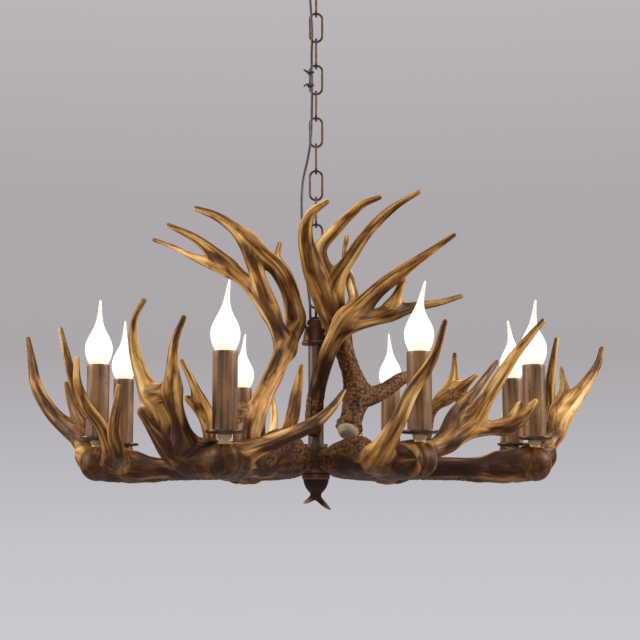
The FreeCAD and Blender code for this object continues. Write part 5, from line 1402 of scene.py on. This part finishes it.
@dataclass
class Candle:
    """One candle: sleeve with drips, flame bulb, pan and spacer."""

    number: int
    sleeve_radius: float = 15.9
    sleeve_wall: float = 1.6
    sleeve_steps: tuple[int, int] = (72, 40)
    sleeve_lip: float = 0.4
    runs: tuple[int, float, int] = (13, 46.0, 50)
    threads: tuple[int, float, int] = (27, 18.0, 80)
    run_edge: float = 0.46
    run_slope: float = 2.4
    drip_room: float = 0.25
    drip_height: float = 0.62
    foot_drip: float = 0.35
    run_part: float = 0.8
    rim_share: float = 0.985
    rim_draw: float = 0.03
    foot: float = LEVEL + 83.5
    top: float = LEVEL + 185.5
    bulb_sink: float = 0.2
    bulb_sides: int = 40
    bulb_pitch: float = 1.6
    bulb_thinnest: float = 0.4
    bend_start: float = 40.0
    bend_height: float = 52.0
    pan_foot: float = LEVEL + 81.5
    spacer_foot: float = LEVEL + 62.0
    bore: float = 5.2

    def sleeve(self) -> bpy.types.Object:
        """The sleeve: a tube whose skin swells a little along upright drips.

        Formula: the radius is the plain radius less the drips' room, plus the drips'
        height times drawn-out noise round the tube that thickens towards the rim. Runs
        and threads are (lattice points round, pitch along, first pattern).
        """
        around, rows = self.sleeve_steps
        height = self.top - self.foot
        turn, up = (grid.ravel() for grid in np.meshgrid(round_angles(around), np.linspace(0, 1, rows)))
        runs, threads = (ring_noise(turn, up * height, count, pitch, first + self.number)
                         for count, pitch, first in (self.runs, self.threads))
        thick = np.clip((runs - self.run_edge) * self.run_slope, 0, 1)
        thick = thick * (self.foot_drip + (1 - self.foot_drip) * up)
        drip = thick * self.run_part + threads * (1 - self.run_part)
        rim = 1 - np.clip((up - self.rim_share) / (1 - self.rim_share), 0, 1) * self.rim_draw
        radius = (self.sleeve_radius - self.drip_room + self.drip_height * drip) * rim
        shell = tube(radius.reshape(rows, around), self.foot + np.linspace(0, 1, rows) * height,
                     self.sleeve_radius - self.sleeve_wall, (self.top - self.sleeve_lip, self.foot))
        obj = mesh_object(f"sleeve_{self.number + 1}", shell.moved(*candle_spot(self.number), 0))
        store(obj.data, "drip", Stored.NUMBER, np.concatenate([drip, np.zeros(2 * around)]))
        return crisp(obj, 50)

    def bulb(self) -> bpy.types.Object:
        """The flame bulb: a turned profile whose thin tip bends aside.

        Formula: rings of the profile's radius round a line that leans by the bend times
        t^2 (1.6 - 0.6 t), t the share of the bend's height.
        """
        profile = [(height, 0.0, 0.0, radius) for radius, height in BULB_PROFILE]
        steps = smooth_run(np.array(profile), self.bulb_pitch)
        height, radius = steps[:, 0], np.maximum(steps[:, 3], self.bulb_thinnest)
        share = np.clip((height - self.bend_start) / self.bend_height, 0, 1)
        lean = share**2 * (1.6 - 0.6 * share)
        bend_x, bend_y = FLAME_BENDS[self.number]
        x, y = candle_spot(self.number)
        base = self.top - self.bulb_sink
        path = np.column_stack([x + bend_x * lean, y + bend_y * lean, base + height, radius])
        return mesh_object(f"flame_bulb_{self.number + 1}", carried_ring(path, self.bulb_sides))

    def pan(self) -> Shell:
        """The drip pan: a thin dished disc with a rolled rim."""
        return self._turned(self.pan_foot, 56, [
            (self.bore, 0, 0), (15.0, 0, 3), (23.6, 0.6, 1.6), (24.6, 2.4, 1.0), (24.2, 4.5, 0.6),
            (23.0, 4.2, 0.6), (21.4, 2.1, 1.5), (self.bore, 1.9, 0)])

    def spacer(self) -> Shell:
        """The turned spacer under the pan: a flared foot, a waist and a bead."""
        return self._turned(self.spacer_foot, 40, [
            (self.bore, -0.2, 0), (12.2, -0.2, 1.0), (12.6, 3.0, 1.5), (10.6, 7.6, 2.0), (7.6, 9.2, 1.2),
            (7.4, 12.4, 1.2), (9.2, 14.4, 1.2), (9.6, 17.4, 1.0), (8.8, 19.4, 0.6), (self.bore, 19.4, 0)])

    def _turned(self, foot: float, around: int, corners: Corners) -> Shell:
        """A turned piece on the candle's axis, its corners' heights above a foot."""
        shell = turned_profile(rounded_profile(corners), around)
        return shell.moved(*candle_spot(self.number), foot)

    def place(self, looks: Looks) -> None:
        """Makes and places the sleeve and the bulb."""
        place_piece(self.sleeve(), looks.sleeve, Body.PENDANT, f"candle_sleeve_{self.number + 1}")
        place_piece(self.bulb(), looks.glow, Body.PENDANT, f"bulb_{self.number + 1}")


@dataclass
class Chain:
    """The welded oval links."""

    wire: float = 1.7
    half_width: float = 9.3
    bar_spacing: float = LINK_BAR_SPACING
    bend_steps: int = 26
    side_steps: int = 14
    wire_sides: int = 16
    weld_swell: float = 0.22
    weld_length: float = 1.6

    def link(self, number: int) -> bpy.types.Object:
        """One link: round wire round an oval, a little thicker at its weld.

        Formula: two half rings joined by straight sides; the radius gains the weld's
        swell times exp(-(s/l)^2), s the distance from the weld and l the weld's length.
        """
        straight = self.bar_spacing / 2 - self.half_width
        turn = np.linspace(0, math.pi, self.bend_steps)
        upper = np.column_stack([self.half_width * np.cos(turn), straight + self.half_width * np.sin(turn)])
        side = np.linspace(straight, -straight, self.side_steps)[1:-1]
        left = np.column_stack([np.full(len(side), -self.half_width), side])
        outline = np.vstack([upper, left, -upper, -left])
        from_weld = np.linalg.norm(outline - [self.half_width, 0.0], axis=1)
        radius = self.wire + self.weld_swell * np.exp(-(from_weld / self.weld_length) ** 2)
        path = np.column_stack([outline[:, 0], np.zeros(len(outline)), outline[:, 1], radius])
        shell = carried_ring(path, self.wire_sides, closed=True)
        if number % 2:
            shell = shell.turned(90)
        top = FIRST_LINK_TOP - (number - 1) * LINK_ADVANCE
        return mesh_object(f"link_{number:02d}", shell.moved(0, 0, top - self.bar_spacing / 2))

    def place(self, looks: Looks) -> None:
        """Makes and places the links; the first one rides on a body of its own."""
        for number in range(1, LINKS + 1):
            body = Body.TOP_LINK if number == 1 else Body.PENDANT
            place_piece(self.link(number), looks.bronze, body, f"chain_link_{number:02d}")


@dataclass
class Ties:
    """Two plastic ties round the cord and the left side of the fourth link."""

    middle: float = FIRST_LINK_TOP - 3 * LINK_ADVANCE - LINK_BAR_SPACING / 2
    apart: float = 10.0
    cord: tuple[float, float] = (-6.1, -6.9)
    wire: tuple[float, float] = (-9.3, 0.0)
    reach: float = 2.7
    thickness: float = 0.8
    half_width: float = 1.6
    half_width_outside: float = 1.3

    def shell(self) -> Shell:
        """Bands, heads and cut tails.

        Formula: each band is an upright flat section carried round a stadium about cord
        and wire; the tail is a flat section carried along a short curve.
        """
        parts = []
        for way in (1.0, -1.0):
            z = self.middle + way * self.apart
            head = [(-10.6, -6.8, z, 2.3), (-11.6, -7.6, z, 2.5), (-13.4, -9.0, z, 2.5),
                    (-14.2, -9.6, z, 2.2)]
            tail = [(-13.8, -9.4, z, 1.2), (-15.6, -10.4, z + 0.6 * way, 1.25),
                    (-17.2, -10.9, z + 1.8 * way, 1.2), (-18.4, -11.0, z + 3.6 * way, 1.0)]
            parts += [self._band(z), carried_ring(np.array(head), around=4),
                      carried_ring(smooth_run(np.array(tail), 1.2), around=12, squeeze=1.5)]
        return joined(parts)

    def _band(self, z: float) -> Shell:
        """A flat band round the two upright rods at a height."""
        first, second = np.array(self.cord), np.array(self.wire)
        way = (second - first) / np.linalg.norm(second - first)
        beside = np.array([way[1], -way[0]])
        turn = np.linspace(-math.pi / 2, math.pi / 2, 13)[:, None]
        arc = self.reach * (np.cos(turn) * way + np.sin(turn) * beside)
        path = np.vstack([second + arc, first - arc])
        out = path - path.mean(axis=0)
        out /= np.linalg.norm(out, axis=1)[:, None]
        rows = [np.column_stack([path + out * push, np.full(len(path), z + lift)]) for push, lift in (
            (0.0, -self.half_width), (self.thickness, -self.half_width_outside),
            (self.thickness, self.half_width_outside), (0.0, self.half_width))]
        return Shell(np.vstack(rows), ring_faces(len(rows), len(path), closed=True))


@dataclass
class Frame:
    """The turned and bent metal parts."""

    around: int = 72
    eye_radius: float = 10.0
    eye_wire: float = 2.0
    eye_steps: int = 48
    neck_radius: float = 6.9
    neck_sides: int = 40
    column_foot: float = LEVEL + 60.0
    column_top: float = LEVEL + 239.9
    column_radius: float = 11.4
    column_bore: float = 9.0
    column_rows: int = 30
    flutes: tuple[int, float, int] = (18, 60.0, 5)
    flute_depth: float = 0.2
    collar_height: float = 37.0

    def canopy(self) -> bpy.types.Object:
        """The ceiling canopy: a spun bell with a rolled rim and a small step."""
        outline = rounded_profile([
            (53.4, 0.0, 0), (54.9, 0.0, 0.5), (54.9, -3.4, 0.8), (53.4, -4.6, 0.8), (54.0, -14.5, 6),
            (45.5, -23.6, 5), (30.0, -25.2, 3), (28.8, -27.4, 1.2), (5.4, -27.95, 0), (5.4, -26.5, 0),
            (28.0, -25.9, 1), (29.0, -23.8, 1.5), (44.0, -22.2, 5), (52.4, -14.0, 5), (52.0, -5.0, 0.8)])
        return crisp(mesh_object("canopy_bell", turned_profile(outline[::-1], self.around)), 40)

    def collar(self) -> bpy.types.Object:
        """The bell collar on the column."""
        top = self.collar_height - 0.05
        bell = turned_profile(rounded_profile([
            (11.8, 0, 0), (20.6, 0, 1.0), (21.4, 1.6, 0.9), (21.4, 3.6, 0.9), (20.0, 5.0, 0.8),
            (19.3, 6.4, 0.8), (18.6, 14.0, 4), (16.2, 25.0, 5), (13.4, 33.4, 3), (12.9, 36.0, 0.9),
            (11.8, top, 0.5), (4.4, top, 0), (4.4, 30.0, 0), (11.8, 14.0, 0)]), self.around)
        return crisp(mesh_object("collar_bell", bell.moved(0, 0, COLLAR_TOP - self.collar_height)), 40)

    def eye(self, name: str, centre: float, neck: tuple[float, float], turn: float) -> bpy.types.Object:
        """A loop of round wire on a turned neck.

        Args:
            name: the object's name.
            centre: height of the loop's middle.
            neck: heights of the neck's lower and upper face.
            turn: degrees the loop is turned about the upright axis.

        Returns:
            The object.
        """
        low, high = neck
        angle = round_angles(self.eye_steps)
        path = np.column_stack([self.eye_radius * np.cos(angle), np.zeros(len(angle)),
                                centre + self.eye_radius * np.sin(angle), np.full(len(angle), self.eye_wire)])
        ring = carried_ring(path, around=18, closed=True).turned(turn)
        foot = turned_profile(rounded_profile([
            (0.0, low, 0), (6.2, low, 0.7), (self.neck_radius, low + 1.4, 0.8),
            (self.neck_radius, high - 1.2, 0.8), (6.4, high, 0.6), (0.0, high, 0)]), self.neck_sides)
        return mesh_object(name, joined([ring, foot]))

    def column(self) -> bpy.types.Object:
        """The column's tube, fluted lightly by its brushed paint.

        Formula: the radius gains the flutes' depth times noise drawn out along the tube,
        taken about its middle.
        """
        heights = np.linspace(self.column_foot, self.column_top, self.column_rows)
        turn, up = (grid.ravel() for grid in np.meshgrid(round_angles(self.around), heights))
        radius = self.column_radius + self.flute_depth * (ring_noise(turn, up, *self.flutes) - 0.5)
        shell = tube(radius.reshape(self.column_rows, self.around), heights, self.column_bore,
                     (self.column_top, self.column_foot))
        return crisp(mesh_object("column_tube", shell), 50)

    def finial_rim(self) -> bpy.types.Object:
        """The finial's turned rim under the hub."""
        rim = rounded_profile([(0.0, 28.4, 0), (19.0, 28.4, 1.0), (20.4, 30.4, 1.4), (20.4, 36.6, 1.0),
                               (19.6, 37.9, 0.5), (0.0, 37.9, 0)])
        return crisp(mesh_object("finial_rim", turned_profile(rim).moved(0, 0, LEVEL)), 45)

    def place(self, looks: Looks) -> None:
        """Makes and places the metal from the ceiling down to the column."""
        place_piece(self.canopy(), looks.bronze, Body.CEILING, "canopy")
        canopy_eye = self.eye("canopy_eye", -44.0, (-35.8, -28.1), 0)
        place_piece(canopy_eye, looks.bronze, Body.CEILING, "canopy_loop")
        column_eye = self.eye("column_eye", -548.55, (COLLAR_TOP, COLLAR_TOP + 4.5), 90)
        place_piece(column_eye, looks.bronze, Body.PENDANT, "top_loop")
        place_piece(self.collar(), looks.rust_and_red_shade, Body.PENDANT, "collar")
        place_piece(self.column(), looks.brown, Body.PENDANT, "column")


@dataclass
class PowerCord:
    """The cord: a round tube on a smooth run through its chosen points."""

    radius: float = 1.9
    pitch: float = 3.0
    sides: int = 14

    def hang(self) -> None:
        """Makes the cord, dresses it and hides the imported one."""
        run = smooth_run(np.array([(*place, self.radius) for place in CORD_POINTS]), self.pitch)
        cord = mesh_object("cord_run", carried_ring(run, self.sides))
        skin = PlainCoat("cord_black", (0.022, 0.018, 0.018), (0.045, 0.038, 0.035), 0.42)
        cord.data.materials.append(skin.material())
        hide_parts("power_cord")
        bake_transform(cord)


# ---------------------------------------------------------------------------------- studio
@dataclass
class Studio:
    """Camera, lights, floor and background; lengths here are metres."""

    lens: float = 80.55
    distance: float = 2.105
    pitch: float = 7.13
    aside: float = 0.0059
    aim: tuple[float, float, float] = (0.0, 0.0, -0.62)
    warm: Colour = (1.0, 0.95, 0.88)
    overhead: Colour = (1.0, 0.98, 0.95)
    soft: Colour = (1.0, 0.97, 0.95)
    soft_strength: float = 0.34
    backdrop_slopes: tuple[float, float] = (-0.10, 0.34)
    sensor: float = 36.0
    floor_half: float = 6.0
    floor_height: float = -2.3

    def camera(self) -> None:
        """Sets the camera at the photograph's angle."""
        data = bpy.data.cameras.new("view")
        data.lens = self.lens
        data.sensor_width = self.sensor
        obj = bpy.data.objects.new("view", data)
        obj.location = (self.aside, -self.distance, LEVEL * MM)
        obj.rotation_euler = (math.radians(90 + self.pitch), 0, 0)
        bpy.context.scene.collection.objects.link(obj)
        bpy.context.scene.camera = obj

    def lamp(self, name: str, place: tuple[float, float, float], size: float, power: float,
             colour: Colour) -> None:
        """Adds a square soft lamp that looks at the antlers' middle.

        Args:
            name: the lamp's name.
            place: where it stands.
            size: its side.
            power: its watts.
            colour: its light.
        """
        data = bpy.data.lights.new(name, "AREA")
        data.shape = "SQUARE"
        data.size = size
        data.energy = power
        data.color = colour
        obj = bpy.data.objects.new(name, data)
        obj.location = place
        x, y, z = np.array(self.aim) - np.array(place)
        obj.rotation_euler = (math.atan2(math.hypot(x, y), -z), 0, math.atan2(x, -y) + math.pi)
        bpy.context.scene.collection.objects.link(obj)

    def lamps(self) -> None:
        """Two soft boxes at the sides, one overhead and a weak one in front."""
        self.lamp("left_box", (-2.0, -0.4, 0.1), 1.0, 50.0, self.warm)
        self.lamp("right_box", (2.0, -0.3, 0.2), 1.0, 58.0, self.warm)
        self.lamp("top_box", (0.2, -0.3, 1.2), 1.4, 24.0, self.overhead)
        self.lamp("front_box", (-0.4, -2.6, -0.5), 1.2, 12.0, self.warm)

    def floor(self) -> None:
        """A plain pale floor far below."""
        signs = np.array([(-1, -1), (1, -1), (1, 1), (-1, 1)])
        corners = np.column_stack([signs * self.floor_half, np.full(len(signs), self.floor_height)]) / MM
        obj = mesh_object("studio_floor", Shell(corners, [(0, 1, 2, 3)]), smooth=False)
        graph = Graph("pale_floor")
        cloud = graph.noise(graph.place(), 0.6, 2.0)
        colour = graph.mix(cloud, (0.62, 0.61, 0.64), (0.66, 0.65, 0.68))
        obj.data.materials.append(graph.finish(Base_Color=colour, Roughness=0.8))

    def backdrop(self) -> None:
        """The world: soft light, and a pale background that is lighter low down."""
        world = bpy.data.worlds.new("studio")
        bpy.context.scene.world = world
        world.use_nodes = True
        tree = world.node_tree
        tree.nodes.clear()
        kinds = ("OutputWorld", "LightPath", "TexCoord", "SeparateXYZ", "MapRange", "ValToRGB", "MixShader")
        nodes = {kind: tree.nodes.new(f"ShaderNode{kind}") for kind in kinds}
        soft, seen = (tree.nodes.new("ShaderNodeBackground") for _ in range(2))
        soft.inputs["Color"].default_value = (*self.soft, 1)
        soft.inputs["Strength"].default_value = self.soft_strength
        for socket, slope in zip(("From Min", "From Max"), self.backdrop_slopes):
            nodes["MapRange"].inputs[socket].default_value = slope
        set_stops(nodes["ValToRGB"].color_ramp, [
            (0.0, (0.60, 0.59, 0.63)), (0.16, (0.56, 0.55, 0.59)), (0.45, (0.405, 0.385, 0.405)),
            (0.70, (0.42, 0.395, 0.41)), (1.0, (0.50, 0.475, 0.485))])
        for source, output, target, socket in (
                (nodes["TexCoord"], "Generated", nodes["SeparateXYZ"], 0),
                (nodes["SeparateXYZ"], "Z", nodes["MapRange"], "Value"),
                (nodes["MapRange"], "Result", nodes["ValToRGB"], 0),
                (nodes["ValToRGB"], "Color", seen, "Color"),
                (nodes["LightPath"], "Is Camera Ray", nodes["MixShader"], 0),
                (soft, 0, nodes["MixShader"], 1),
                (seen, 0, nodes["MixShader"], 2),
                (nodes["MixShader"], 0, nodes["OutputWorld"], "Surface")):
            tree.links.new(source.outputs[output], target.inputs[socket])


# ---------------------------------------------------------------------------------- making
def place_candles(looks: Looks) -> None:
    """Makes and places the candles' pieces, their pans and spacers each as one."""
    candles = [Candle(number) for number in range(CANDLES)]
    for candle in candles:
        candle.place(looks)
    pans = crisp(mesh_object("pans", joined(candle.pan() for candle in candles)), 50)
    place_piece(pans, looks.pan, Body.PENDANT, "drip_pans")
    spacers = crisp(mesh_object("spacers", joined(candle.spacer() for candle in candles)), 40)
    place_piece(spacers, looks.tan, Body.PENDANT, "candle_ferrules")


def place_antlers(looks: Looks) -> None:
    """Makes and places the ring antlers, the crown antlers and the finial's antler tips."""
    for number in range(len(RING_ANTLERS)):
        skin = Antler(f"ring_{number + 1}", ring_limbs(number), seed=11 + number).build()
        place_piece(skin, looks.resin, Body.PENDANT, f"ring_antler_{number + 1}")
    for number in range(len(CROWN_ANTLERS)):
        skin = Antler(f"crown_{number + 1}", crown_limbs(number), seed=31 + number).build()
        place_piece(skin, looks.resin, Body.PENDANT, f"crown_antler_{number + 1}")
    finial = Antler("finial", finial_limbs(), seed=47, voxel=0.8, web=1.5, groove_depth=0.4, tip_length=14.0)
    place_piece(finial.build(), looks.resin, Body.PENDANT)


def dress_nodes(frame: dict[str, object], looks: Looks) -> None:
    """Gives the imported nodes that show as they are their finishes."""
    zinc_nodes = ("ceiling_bracket", "canopy_nut", "canopy_nipple", "candle_nipples", "crown_pins",
                  "antler_screws")
    brown_nodes = ("hub", "hub_cover", "column_nuts")
    for material, nodes in (
            (looks.zinc, zinc_nodes), (looks.brown, brown_nodes), (looks.ivory, ("lamp_holders",))):
        for node in nodes:
            materials = frame["nodes"][node].data.materials
            materials.clear()
            materials.append(material)


def main() -> None:
    """Builds the chandelier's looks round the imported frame."""
    logging.basicConfig(level=logging.INFO, format="%(name)s %(message)s")
    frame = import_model()
    bpy.context.scene.view_settings.view_transform = "Standard"
    studio = Studio()
    studio.camera()
    PowerCord().hang()
    studio.lamps()
    studio.floor()
    studio.backdrop()

    looks = Looks()
    metal = Frame()
    metal.place(looks)
    Chain().place(looks)
    place_piece(mesh_object("ties", Ties().shell()), looks.tie, Body.PENDANT, "cable_ties")
    place_candles(looks)
    place_antlers(looks)
    place_piece(metal.finial_rim(), looks.rust_and_red_shade, Body.PENDANT, "finial")
    dress_nodes(frame, looks)


if __name__ == "__main__":
    main()
